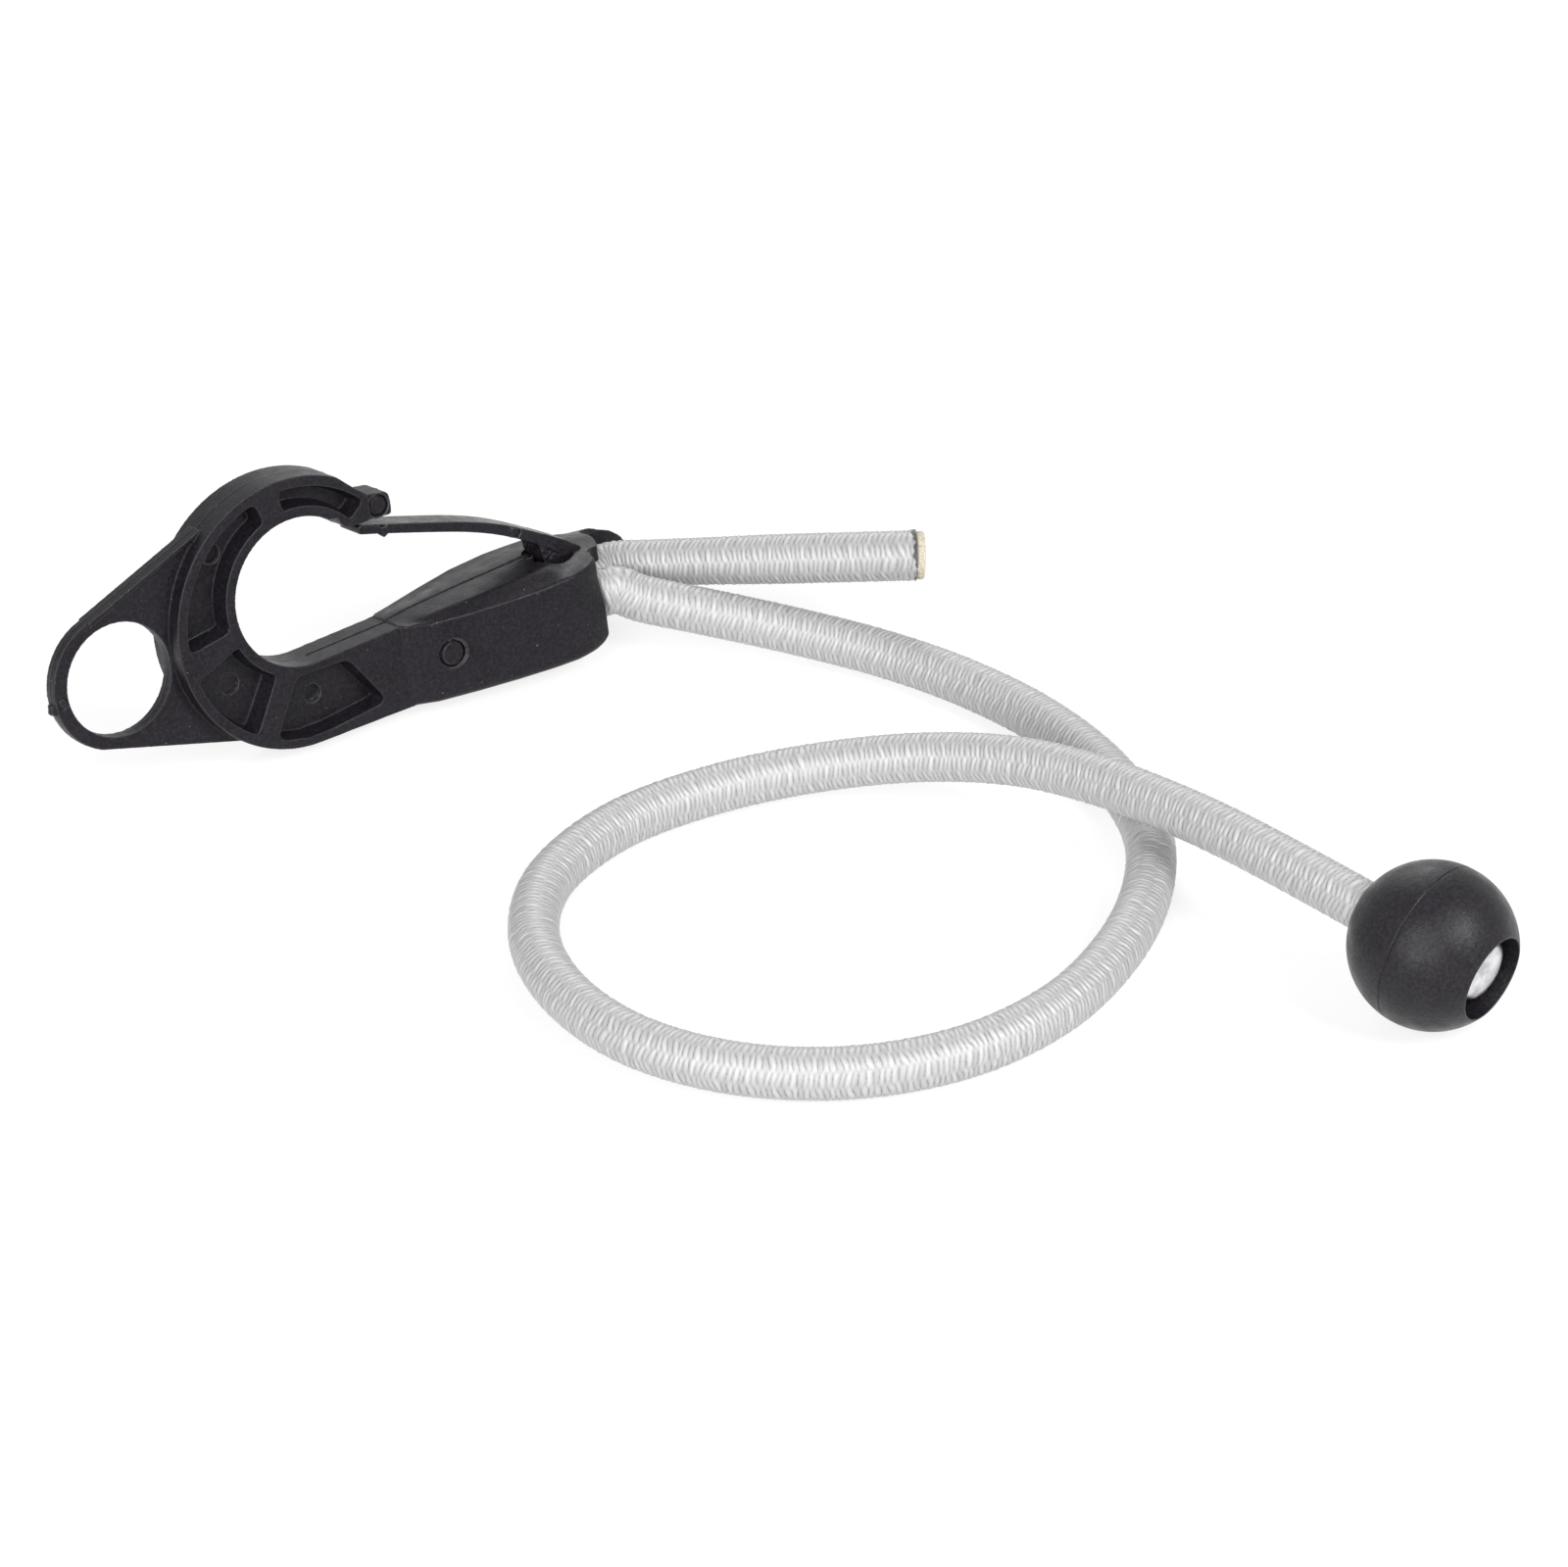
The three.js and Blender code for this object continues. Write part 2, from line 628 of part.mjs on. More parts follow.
function cordPair(sheathPath, corePath, steps, halfHeight, halfWidth) {
  const ellipse = (inset) => sectionEllipse(halfHeight - inset, halfWidth - inset, CORD_SIDES);
  return {
    sheath: tube(ellipse(0), ellipse(SHEATH_WALL), sheathPath, steps),
    core: tube(ellipse(SHEATH_WALL + CORE_CLEARANCE), null, corePath, steps),
  };
}

const LEG_OFFSET = PEG_THICKNESS / 2 + SEAT_GAP + HELD_WIDTH / 2;

function loopPoint(along, across) {
  const place = inLoop(along, across);
  return new THREE.Vector3(place.x, LEG_HEIGHT, place.y);
}

function heldPath() {
  const bendSteps = 8;
  const bend = Array.from({ length: bendSteps + 1 }, (_, i) => {
    const angle = Math.PI / 2 + (Math.PI * i) / bendSteps;
    return loopPoint(LEG_OFFSET * Math.cos(angle), LEG_OFFSET * Math.sin(angle));
  });
  const front = loopPoint(FRONT_LEG, LEG_OFFSET);
  const back = loopPoint(BACK_LEG, -LEG_OFFSET);
  return new THREE.CatmullRomCurve3([front, ...bend, back]);
}

// Ball and end cap, turned about the cord's axis

function turned(profile) {
  const points = profile.map(([radius, along]) => new THREE.Vector2(radius, along));
  return solidOf(new THREE.LatheGeometry(points, ROUND_SEGMENTS));
}

function toggleBall() {
  const radius = BALL_DIAMETER / 2;
  const bore = CORD_DIAMETER / 2 + BORE_CLEARANCE;
  const mouth = bore + BORE_FLARE;
  const counterbore = COUNTERBORE_DIAMETER / 2;
  const from = Math.asin(mouth / radius);
  const to = Math.PI - Math.asin(counterbore / radius);
  const steps = 18;
  const profile = Array.from({ length: steps + 1 }, (_, i) => {
    const angle = from + ((to - from) * i) / steps;
    return [radius * Math.sin(angle), -radius * Math.cos(angle)];
  });
  profile.push([counterbore, COUNTERBORE_FLOOR]);
  profile.push([bore, COUNTERBORE_FLOOR]);
  profile.push([bore, profile[0][1] + BORE_FLARE]);
  return turned([...profile, profile[0]]);
}

const CAP_START = COUNTERBORE_FLOOR + SEAT_GAP;
const CORD_END = CAP_START + CAP_LENGTH - CAP_END - SEAT_GAP;

function endCap() {
  const radius = CAP_DIAMETER / 2;
  const bore = CORD_DIAMETER / 2 + SEAT_GAP;
  const end = CAP_START + CAP_LENGTH;
  const dome = Array.from({ length: 7 }, (_, i) => {
    const angle = (Math.PI / 2) * (i / 6);
    return [radius * Math.cos(angle), end - CAP_DOME * (1 - Math.sin(angle))];
  });
  dome.at(-1)[0] = 0;
  const floor = end - CAP_END;
  return turned([[0, floor], [bore, floor], [bore, CAP_START], [radius, CAP_START], ...dome]);
}

// Assembly

function mesh(name, solid, material) {
  const piece = new THREE.Mesh(geometryOf(solid), material);
  piece.name = name;
  return piece;
}

const hook = new THREE.Group();
const heldLoop = heldPath();
const held = cordPair(heldLoop, heldLoop, HELD_STEPS, HELD_HEIGHT / 2, HELD_WIDTH / 2);
hook.rotation.x = Math.PI / 2 - HOOK_LEAN;
hook.add(mesh("hook_body", hookBody(), black));
hook.position.z = -new THREE.Box3().setFromObject(hook, true).min.z;
hook.position.x = HOOK_PLACE.x;
hook.position.y = HOOK_PLACE.y;
hook.add(mesh("gate_leaf", gateLeaf(), black));
hook.add(mesh("gate_anchor", gateAnchor(), black));
hook.add(mesh("held_sheath", held.sheath, braid));
hook.add(mesh("held_core", held.core, rubber));
hook.updateMatrixWorld(true);

const ballAxis = new THREE.Vector3(1, 0, 0)
  .applyAxisAngle(new THREE.Vector3(0, 1, 0), BALL_DIP)
  .applyAxisAngle(new THREE.Vector3(0, 0, 1), BALL_HEADING);
const ball = new THREE.Group();
ball.position.set(BALL_PLACE.x, BALL_PLACE.y, BALL_DIAMETER / 2);
ball.quaternion.setFromUnitVectors(new THREE.Vector3(0, 1, 0), ballAxis);
ball.add(mesh("toggle_ball", toggleBall(), ballBlack));
ball.add(mesh("end_cap", endCap(), steel));

// The free stretches start square to the held loop's ends, and the long one runs straight through the ball.

const onBall = (along) => ball.position.clone().addScaledVector(ballAxis, along);
const onLoop = (along, across) => hook.localToWorld(loopPoint(along, across));
const lead = (leg, across) => [SEAT_GAP, SEAT_GAP + LEG_LEAD].map((gap) => onLoop(leg + gap, across));
const smooth = (points) => new THREE.CatmullRomCurve3(points, false, "centripetal");
const routed = (route) => route.map((point) => new THREE.Vector3(...point));

const ballEntry = -BALL_DIAMETER / 2;
const throughBall = [ballEntry - LEG_LEAD, ballEntry, CORD_END].map(onBall);
const mainPath = smooth([...lead(FRONT_LEG, LEG_OFFSET), ...routed(MAIN_ROUTE), ...throughBall]);
const tailStart = [...lead(BACK_LEG, -LEG_OFFSET), ...routed(TAIL_ROUTE)];
const tailPath = smooth([...tailStart, TAIL_END]);
const tailRun = TAIL_END.clone().sub(tailStart.at(-1)).normalize();
const tailCorePath = smooth([...tailStart, TAIL_END.clone().addScaledVector(tailRun, TAIL_CORE_PROUD)]);
const round = CORD_DIAMETER / 2;
const main = cordPair(mainPath, mainPath, MAIN_STEPS, round, round);
const tail = cordPair(tailPath, tailCorePath, TAIL_STEPS, round, round);

const bungee = new THREE.Group();
bungee.add(hook, ball);
bungee.add(mesh("main_sheath", main.sheath, braid));
bungee.add(mesh("main_core", main.core, rubber));
bungee.add(mesh("tail_sheath", tail.sheath, braid));
bungee.add(mesh("tail_core", tail.core, rubber));

export default bungee;
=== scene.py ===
"""Looks of an elastic cord with a snap hook and a ball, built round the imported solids.

Places and lengths are metres in the row frame, except where they are said to be millimetres.
"""

import math

import bmesh
import bpy
import numpy as np
from mathutils import Matrix, Vector


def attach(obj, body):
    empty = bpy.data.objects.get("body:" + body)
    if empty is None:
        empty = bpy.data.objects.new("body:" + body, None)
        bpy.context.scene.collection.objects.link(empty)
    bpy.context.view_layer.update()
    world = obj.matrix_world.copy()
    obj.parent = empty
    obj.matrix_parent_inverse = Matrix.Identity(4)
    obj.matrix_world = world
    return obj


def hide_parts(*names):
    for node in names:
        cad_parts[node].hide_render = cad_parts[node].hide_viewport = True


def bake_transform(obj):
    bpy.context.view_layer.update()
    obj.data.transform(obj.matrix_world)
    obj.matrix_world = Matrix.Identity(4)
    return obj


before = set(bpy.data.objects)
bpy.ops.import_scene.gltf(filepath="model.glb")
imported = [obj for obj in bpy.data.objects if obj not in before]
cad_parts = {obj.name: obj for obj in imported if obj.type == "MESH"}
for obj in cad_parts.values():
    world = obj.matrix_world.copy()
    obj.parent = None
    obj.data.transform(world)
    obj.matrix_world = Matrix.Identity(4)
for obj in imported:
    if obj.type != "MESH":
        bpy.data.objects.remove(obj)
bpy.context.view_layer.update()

MM = 0.001
rng = np.random.default_rng(11)

# Camera: the photograph's place and direction, and its lens on a 36 mm wide sensor
CAMERA_PLACE = Vector((-0.43139, -0.57745, 0.4552))
CAMERA_LOOK = Vector((0.5159, 0.6846, -0.5150))
CAMERA_LENS = 127.125
SENSOR_WIDTH = 36
CLIP_NEAR = 0.01
CLIP_FAR = 50

# Hook frame: along the shank, up across it, and out of its front face
HOOK_PLACE = Vector((-0.02844, 0.08873, 0.026634))
HOOK_LEAN = math.radians(11)
ALONG = Vector((1, 0, 0))
UP = Vector((0, math.sin(HOOK_LEAN), math.cos(HOOK_LEAN)))
OUT = Vector((0, -math.cos(HOOK_LEAN), math.sin(HOOK_LEAN)))

# Cord
CORD_RADIUS = 4 * MM
CORD_SIDES = 100

# Loop of the cord round the gate's peg, in millimetres
PEG = (48.3, -1.4)  # along and out of the hook
PEG_TURN = math.radians(16)  # by which the legs are turned to the front
LEG_OFFSET = 4.3
LEG_HEIGHT = -17.2
FRONT_LEG = 9.3
BACK_LEG = 5.3
LEG_LEAD = 1.5  # straight run after a leg, and before the ball
HELD_HALF_HEIGHT = 4.6
HELD_HALF_WIDTH = 2.5
HELD_SQUEEZE = (0.7, 3.5)  # stretch in which the loop goes from round to flat
HELD_OVERLAP = 0.8  # by which it reaches into the main cord
HELD_STRAIGHT = 2  # from the front leg's end back to the loop's second point
HELD_SHORT = 0.3  # by which it stops before the tail
HELD_BENDS = 8

# Tail's end, in millimetres
TAIL_END_RADIUS = 4.22  # the slack end is a little thicker
TAIL_SWELL = (20, 40)  # stretch in which it grows
BURNT = 1.1  # at the cut, where the sheath is melted
BURNT_FADE = 0.35
MELT_SWELL = 0.12
CUT_SLANT = 0.34  # the tail isn't cut quite square
CUT_SHORT = 0.45 * MM  # by which the cut takes its middle back
CUT_DEPTH = 6 * MM  # of the stretch that leans with the cut
CUT_FULL = 0.25  # share of that stretch with the full slant
CUT_NEAR = Vector((-0.7, -0.5, 0.5))  # the side on which the cut tail is longer

# Braid
PICK = 0.88  # mm along the cord from ridge to ridge
RINGS_PER_PICK = 6
PLAITS = 10  # columns of plaits round the cord
PLAIT_SLANT = 0.45  # how many picks a float climbs
FLOAT_REACH = 0.78  # columns that a float reaches to each side
FLOAT_POWER = 3  # the higher, the more abruptly a float ends
RIDGE_POWER = 0.27  # the lower, the broader the ridges and the thinner the valleys
BRAID_RELIEF = 0.23  # mm
# Painted shade: the braid's colour is darkened down between the plaits.
VALLEY_SHADE = 0.2  # of the attribute crown between the plaits
COLUMN_SHIFT = 0.08  # picks by which a column is out of step at most
UNEVEN = [(0.22, 7.3, 1.1), (0.15, 3.1, 0)]  # mm: size, length and phase of waves in the picks
LOOSE = [(0.13, 1.3, 3, 0), (0.10, 0.71, -4, 1), (0.05, 3.7, 7, 0)]  # size, along, round, phase
YARN_STEPS = (2.7, 1.7)  # of the phase from pick to pick, and from column to column
YARN_HEIGHT = 0.84
YARN_WAVES = [(0.13, 1), (0.1, 3.9)]  # by which single floats are taller or lower

# Ball and cap, in millimetres along and from the ball's axis
BALL_CENTRE = Vector((0.06045, -0.0843, 0.0128))
BALL_AXIS = Vector((0.222762, -0.964888, -0.139173)).normalized()
BALL_RADIUS = 12.8
BALL_STEPS = 90
BORE_RADIUS = 4.35
BORE_FLARE = 0.8
COUNTERBORE_RADIUS = 6.7
COUNTERBORE_FLOOR = 1
RIM_ROUND = 0.25
BALL_SEAM = 0.6  # place of the mould's seam, before the ball's middle
BALL_SEAM_DEPTH = 0.14
BALL_SEAM_WIDTH = 0.12
BALL_SEAM_SPAN = 0.03  # radians to each side that have closer steps
BALL_SEAM_STEPS = 25
CORD_END = 9
CAP_START = 1.3
CAP_LENGTH = 8.8
CAP_RADIUS = 5.4
CAP_SHIFT = (0.00018, 0, 0.00036)  # metres by which the cap is off the middle of the bore
SMALL_LATHE_SIDES = 96

# Route of the main cord from the sleeve to the ball, and of the tail from the sleeve to its cut
MAIN_ROUTE = [
    (0.0322, 0.0772, 0.0093),
    (0.0387, 0.0708, 0.0078),
    (0.0494, 0.0598, 0.0054),
    (0.0583, 0.0457, 0.0042),
    (0.0633, 0.0301, 0.00415),
    (0.0655, 0.0125, 0.00415),
    (0.0635, -0.0065, 0.00415),
    (0.0562, -0.0246, 0.00415),
    (0.0448, -0.0376, 0.00415),
    (0.0306, -0.0474, 0.00415),
    (0.0140, -0.0539, 0.00415),
    (-0.0038, -0.0548, 0.00415),
    (-0.0203, -0.0493, 0.00415),
    (-0.0332, -0.0385, 0.00415),
    (-0.0410, -0.0237, 0.00415),
    (-0.0422, -0.0075, 0.00415),
    (-0.0373, 0.0081, 0.00415),
    (-0.0263, 0.0204, 0.00415),
    (-0.0088, 0.0274, 0.0042),
    (0.0097, 0.0269, 0.0045),
    (0.0257, 0.0204, 0.0060),
    (0.0384, 0.0088, 0.0089),
    (0.0464, -0.0046, 0.0116),
    (0.0510, -0.0191, 0.0133),
    (0.0534, -0.0345, 0.0146),
    (0.0547, -0.0480, 0.0153),
]
TAIL_ROUTE = [
    (0.0338, 0.0884, 0.0100),
    (0.0394, 0.0829, 0.0111),
    (0.0486, 0.0719, 0.0134),
    (0.0681, 0.0487, 0.0180),
]

# Skins of the mouldings: voxel in millimetres, passes of smoothing, share of faces kept
HOOK_VOXEL = 0.14
GATE_VOXEL = 0.13
SKIN_PASSES = 3
SOFTEN = 0.5
HOOK_KEEP = 0.25
GATE_KEEP = 0.5

# Pieces that the hook's skin takes in: corners along and up the hook, then from and to out of it
ADDITIONS = {
    "sprue": ([(-45.4, -7.4), (-44.2, -7.7), (-44.2, -5.6), (-45.2, -5.9)], -0.7, 0.8),
    "web": (
        [(42.9, -12.8), (54.3, -12.8), (54.3, -11.7), (47, -11.2), (42.9, -10.4)], -3.6, 3.6,
    ),
    "ridge": ([(41.5, -12.8), (46, -12.8), (46, -8.95), (41.5, -9.1)], -3.4, 0.3),
    "foot": ([(-16, -20), (-16, -21.33), (-12.9, -22.15), (-12.4, -20.5)], -1.25, 1.25),
}
# The gate's neck between leaf and root, in the same way
NECK = (
    [
        (44.6, -5.2), (45.8, -6.6), (46.4, -9.4), (47.4, -11.5),
        (52.6, -11.5), (53.8, -9.2), (51.2, -7.2), (47.2, -4.9),
    ],
    -2.85, 2.85,
)

# Marks of the mould's pins: along, up, radius, level out of the hook, depth of pit and of rim
HOOK_MARKS = [
    (-13.4, 9.8, 1.4, 0.4, -0.1, 0.45),
    (-13.8, -12.2, 1.5, 0.4, -0.05, 0.25),
    (0.9, -18.6, 1.4, 0.4, 0.85, 0.15),
    (16.85, 9.2, 1.7, 2.5, -0.3, 0.6),
    (24.05, -17.45, 2.2, 7.05, -0.3, 0.6),
    (-43.4, -5.8, 0.85, 1.25, -0.05, 0.25),
]
LEAF_MARKS = [(41.5, -2.85, 0.95, 2.85, -0.12, 0.5)]
MARK_BAND = 0.9  # how far from its level a mark may lie
MARK_MARGIN = 1
MARK_EDGE = 0.05  # softness of a pit's edge
MARK_INSET = 0.1  # of the pit within the rim
MARK_RIM = 0.17  # width of the rim

# The sleeve's top: along the hook, half its width, then height of its middle and its front rim
CROWN = np.array([
    (17.4, 5, -10.95, -11.3), (21, 6.7, -10.35, -11.5), (28, 8.2, -9.65, -11.4),
    (35, 9.1, -9.1, -11.3), (42, 9.8, -8.6, -11), (46.4, 10.05, -8.3, -10.6),
    (50, 10.1, -9, -10.2),
])
CROWN_EVEN = 0.4  # share of the fall that is even; the rest lies near the rim
CROWN_STEEP = 0.62  # where the steeper fall starts
CROWN_FADE_IN = (16, 22)
CROWN_FADE_OUT = (44, 48)
CROWN_LOW = -12
CROWN_HIGH = -8
CORNER_START = 46.5  # the round front corner of the sleeve's mouth
CORNER_RUN = 7.8
CORNER_MOST = 1.2
CORNER_DEPTH = 3.2
CORNER_OUT = (3, 8.5)
CORNER_UP = (-19, -12.5)
MOUTH = 47  # where the parting lines end
CREST_LOW = -12.8
CREST_START = 1
CREST_DEPTH = 0.45  # of the groove along shank and sleeve
CREST_WIDTH = 0.2
PARTING_HEIGHT = 0.07  # of the raised line round the rest
PARTING_WIDTH = 0.14
STEP_PLACE = 16.74  # the raised line where the sleeve's front starts
STEP_LEAN = 0.0555
STEP_MIDDLE = -18.6
STEP_HEIGHT = 0.13
STEP_WIDTH = 0.16
STEP_FADE = (14, 19)  # heights below the hook's middle
STEP_OUT = 3
STEP_TOP = -11.5
HOLLOW = (46.6, 1.8)  # the torn hollow before the gate's root, along and out of the hook
HOLLOW_RADIUS = 2.6
HOLLOW_DEPTH = 0.2
HOLLOW_LOW = -13
ROOT = (47.2, -8.2)  # the torn underside of the gate's root, along and up the hook
ROOT_REACH = (2.2, 1.6)
ROOT_DEPTH = 0.1

# Stage: colours and strengths, and the lamps' places, targets, sizes and watts
FLOOR_HALF = 6
FLOOR_LIT = 0.82
FLOOR_GLOW = 0.8
FLOOR_SHADE = 0.26
WORLD_LIT = 0.42
WORLD_GLOW = 0.84
LAMPS = {
    "key": ((0.23, -0.83, 0.76), (0.02, -0.02, 0.01), (0.35, 0.5), 8),
    "fill": ((-0.95, -0.55, 0.6), (0, 0, 0), (0.8, 0.8), 12),
    "back": ((0.6, 0.79, 0.62), (0, 0.08, 0.02), (0.5, 0.4), 3),
}


# Places

def hook_point(u, v, n):
    """A point given in millimetres along, up and out of the hook."""
    return HOOK_PLACE + (ALONG * u + UP * v + OUT * n) * MM


def in_hook(points):
    """Places in metres as millimetres along, up and out of the hook."""
    return (points - np.array(HOOK_PLACE)) @ np.array([ALONG, UP, OUT]).T / MM


def loop_point(along, across):
    """A point of the loop round the peg, in millimetres along and across its legs."""
    u = PEG[0] + along * math.cos(PEG_TURN) - across * math.sin(PEG_TURN)
    n = PEG[1] + along * math.sin(PEG_TURN) + across * math.cos(PEG_TURN)
    return hook_point(u, LEG_HEIGHT, n)


def on_ball(along):
    """A point on the ball's axis, in millimetres from the ball's middle."""
    return BALL_CENTRE + BALL_AXIS * (along * MM)


# Lines and meshes

def smooth_step(x, low, high):
    t = np.clip((x - low) / (high - low), 0, 1)
    return t * t * (3 - 2 * t)


def bell(x, width):
    return np.exp(-((x / width) ** 2))


def smooth_line(points, step):
    """A centripetal Catmull-Rom line through the points, as points about step apart."""
    p = np.array([tuple(q) for q in points], float)
    p = np.vstack([2 * p[0] - p[1], p, 2 * p[-1] - p[-2]])
    dense = []
    t = np.linspace(0, 1, 40, endpoint=False)[:, None]
    for a, b, c, d in zip(p[:-3], p[1:-2], p[2:-1], p[3:]):
        da, db, dc = (np.linalg.norm(y - x) ** 0.5 for x, y in ((a, b), (b, c), (c, d)))
        start = ((b - a) / da - (c - a) / (da + db) + (c - b) / db) * db
        end = ((c - b) / db - (d - b) / (db + dc) + (d - c) / dc) * db
        square = 3 * (c - b) - 2 * start - end
        cube = 2 * (b - c) + start + end
        dense.append(b + start * t + square * t**2 + cube * t**3)
    dense = np.vstack([*dense, p[-2]])
    run = np.concatenate([[0], np.cumsum(np.linalg.norm(np.diff(dense, axis=0), axis=1))])
    at = np.linspace(0, run[-1], max(2, round(run[-1] / step)) + 1)
    return np.stack([np.interp(at, run, dense[:, k]) for k in range(3)], axis=1), at


def cross_ways(line, first):
    """Two directions across a line, turned as little as possible from ring to ring."""
    tangent = np.gradient(line, axis=0)
    tangent /= np.linalg.norm(tangent, axis=1)[:, None]
    normal = np.empty_like(tangent)
    side = np.array(first, float)
    for i, way in enumerate(tangent):
        side = side - way * (side @ way)
        side /= np.linalg.norm(side)
        normal[i] = side
    return normal, np.cross(tangent, normal)


def new_object(name, points, faces):
    mesh = bpy.data.meshes.new(name)
    mesh.from_pydata(np.asarray(points, float).tolist(), [], faces)
    mesh.update()
    made = bpy.data.objects.new(name, mesh)
    bpy.context.scene.collection.objects.link(made)
    mesh.shade_smooth()
    return made


def read_vectors(mesh, name):
    """The places (co) or normals (normal) of a mesh's points."""
    values = np.empty(3 * len(mesh.vertices), np.float32)
    mesh.vertices.foreach_get(name, values)
    return values.reshape(-1, 3).astype(float)


def write_places(mesh, places):
    mesh.vertices.foreach_set("co", places.astype(np.float32).ravel())
    mesh.update()


def add_attribute(mesh, name, values):
    layer = mesh.attributes.new(name, "FLOAT", "POINT")
    layer.data.foreach_set("value", values.astype(np.float32))


def grid_faces(rows, columns):
    """Quads of rings that are closed round, the rings one after another."""
    here = np.arange((rows - 1) * columns).reshape(rows - 1, columns)
    right = np.roll(here, -1, axis=1)
    return np.stack([here, right, right + columns, here + columns], axis=-1).reshape(-1, 4)


def tube(name, line, radii, first, chart):
    """A closed tube: radii holds for each ring and side the reach along both cross directions.

    The chart holds a place on the braid for each point and becomes the UV layer braid.
    """
    rows, sides = radii.shape[:2]
    normal, across = cross_ways(line, first)
    angle = 2 * np.pi * np.arange(sides) / sides
    ring = (
        normal[:, None, :] * (np.cos(angle) * radii[..., 0])[..., None]
        + across[:, None, :] * (np.sin(angle) * radii[..., 1])[..., None]
    )
    points = (line[:, None, :] + ring).reshape(-1, 3)
    faces = grid_faces(rows, sides).tolist()
    last = (rows - 1) * sides
    points = np.vstack([points, line[0], line[-1]])
    faces += [[rows * sides, (j + 1) % sides, j] for j in range(sides)]
    faces += [[rows * sides + 1, last + j, last + (j + 1) % sides] for j in range(sides)]
    made = new_object(name, points, faces)
    corners = np.empty(len(made.data.loops), np.int32)
    made.data.loops.foreach_get("vertex_index", corners)
    places = np.vstack([chart.reshape(-1, 2), np.zeros((2, 2))])[corners]
    layer = made.data.uv_layers.new(name="braid")
    layer.data.foreach_set("uv", places.ravel().astype(np.float32))
    return made


def weld(piece):
    """Joins points that fall together and turns the faces outwards."""
    mesh = bmesh.new()
    mesh.from_mesh(piece.data)
    bmesh.ops.remove_doubles(mesh, verts=mesh.verts, dist=2e-6)
    bmesh.ops.recalc_face_normals(mesh, faces=mesh.faces)
    mesh.to_mesh(piece.data)
    mesh.free()
    piece.data.shade_smooth()


def lathe(name, profile, centre, axis, sides=160):
    """A body turned round an axis: the profile holds radius and place on it, in millimetres."""
    profile = np.array(profile, float) * MM
    across = axis.cross(Vector((0, 0, 1))).normalized()
    up = axis.cross(across)
    angle = 2 * np.pi * np.arange(sides) / sides
    ring = np.outer(np.cos(angle), np.array(across)) + np.outer(np.sin(angle), np.array(up))
    points = profile[:, 0, None, None] * ring + profile[:, 1, None, None] * np.array(axis)
    faces = grid_faces(len(profile), sides).tolist()
    made = new_object(name, points.reshape(-1, 3) + np.array(centre), faces)
    weld(made)
    return made


def rounded(corners, steps=6):
    """A profile with its corners (x, y, radius) rounded by short curves."""
    line = []
    for i, (x, y, radius) in enumerate(corners):
        here = np.array((x, y))
        if radius == 0 or i in (0, len(corners) - 1):
            line.append(here)
            continue
        before = np.array(corners[i - 1][:2]) - here
        after = np.array(corners[i + 1][:2]) - here
        before_length, after_length = np.linalg.norm(before), np.linalg.norm(after)
        start = here + before / before_length * min(radius, before_length / 2)
        end = here + after / after_length * min(radius, after_length / 2)
        for t in np.linspace(0, 1, steps + 1):
            line.append((1 - t) ** 2 * start + 2 * t * (1 - t) * here + t**2 * end)
    return line


# Braided cord

def braid(run, sides):
    """Height from 0 to 1 and a chart (pick, plait) of a braid, for rings at run metres.

    Each column of plaits has short slanted floats of yarn, which reach in between those of the
    next one.
    """
    s = run[:, None] / MM
    plait = np.broadcast_to(np.arange(sides) * PLAITS / sides, (len(run), sides))
    turn = 2 * np.pi * plait / PLAITS
    uneven = sum(size * np.sin(s / length + phase) for size, length, phase in UNEVEN)
    loose = sum(
        size * np.sin(along * s + around * turn + phase) for size, along, around, phase in LOOSE
    )
    offset = rng.uniform(-COLUMN_SHIFT, COLUMN_SHIFT, PLAITS)
    height = np.zeros_like(plait)
    chart = np.zeros((*plait.shape, 2))
    for step in (-1, 0, 1):
        column = np.floor(plait).astype(int) + step
        across = plait - column - 0.5
        odd = column % 2
        pick = (s + uneven) / PICK + loose + offset[column % PLAITS] + 0.5 * odd
        pick = pick + PLAIT_SLANT * across * (1 - 2 * odd)
        ridge = (0.5 + 0.5 * np.cos(2 * np.pi * pick)) ** RIDGE_POWER
        yarn = YARN_STEPS[0] * np.floor(pick + 0.5) + YARN_STEPS[1] * (column % PLAITS)
        size = sum((high * np.sin(often * yarn) for high, often in YARN_WAVES), YARN_HEIGHT)
        reach = np.clip(1 - np.abs(across / FLOAT_REACH) ** FLOAT_POWER, 0, 1)
        float_height = ridge * size * reach
        taller = float_height > height
        height = np.where(taller, float_height, height)
        chart = np.where(taller[..., None], np.stack([pick, plait], axis=-1), chart)
    return height, chart


def burnt(run, sides):
    """How far the sheath is melted, from 0 to 1, in ragged patches at its cut end."""
    left = (run[-1] - run[:, None]) / MM
    turn = 2 * np.pi * np.arange(sides)[None, :] / sides
    ragged = 0.4 + 0.35 * np.cos(turn) + 0.2 * np.sin(5 * turn + 2) + 0.15 * np.sin(17 * turn)
    return np.clip((BURNT * ragged - left) / BURNT_FADE, 0, 1)


def slant_cut(piece, end, way):
    """Leans the end of a piece so that its cut is longer on the near side."""
    across = np.array((CUT_NEAR - way * CUT_NEAR.dot(way)).normalized())
    points = read_vectors(piece.data, "co")
    offset = points - np.array(end)
    share = smooth_step(offset @ np.array(way), -CUT_DEPTH, -CUT_FULL * CUT_DEPTH)
    points += np.outer(share * (offset @ across * CUT_SLANT - CUT_SHORT), np.array(way))
    write_places(piece.data, points)


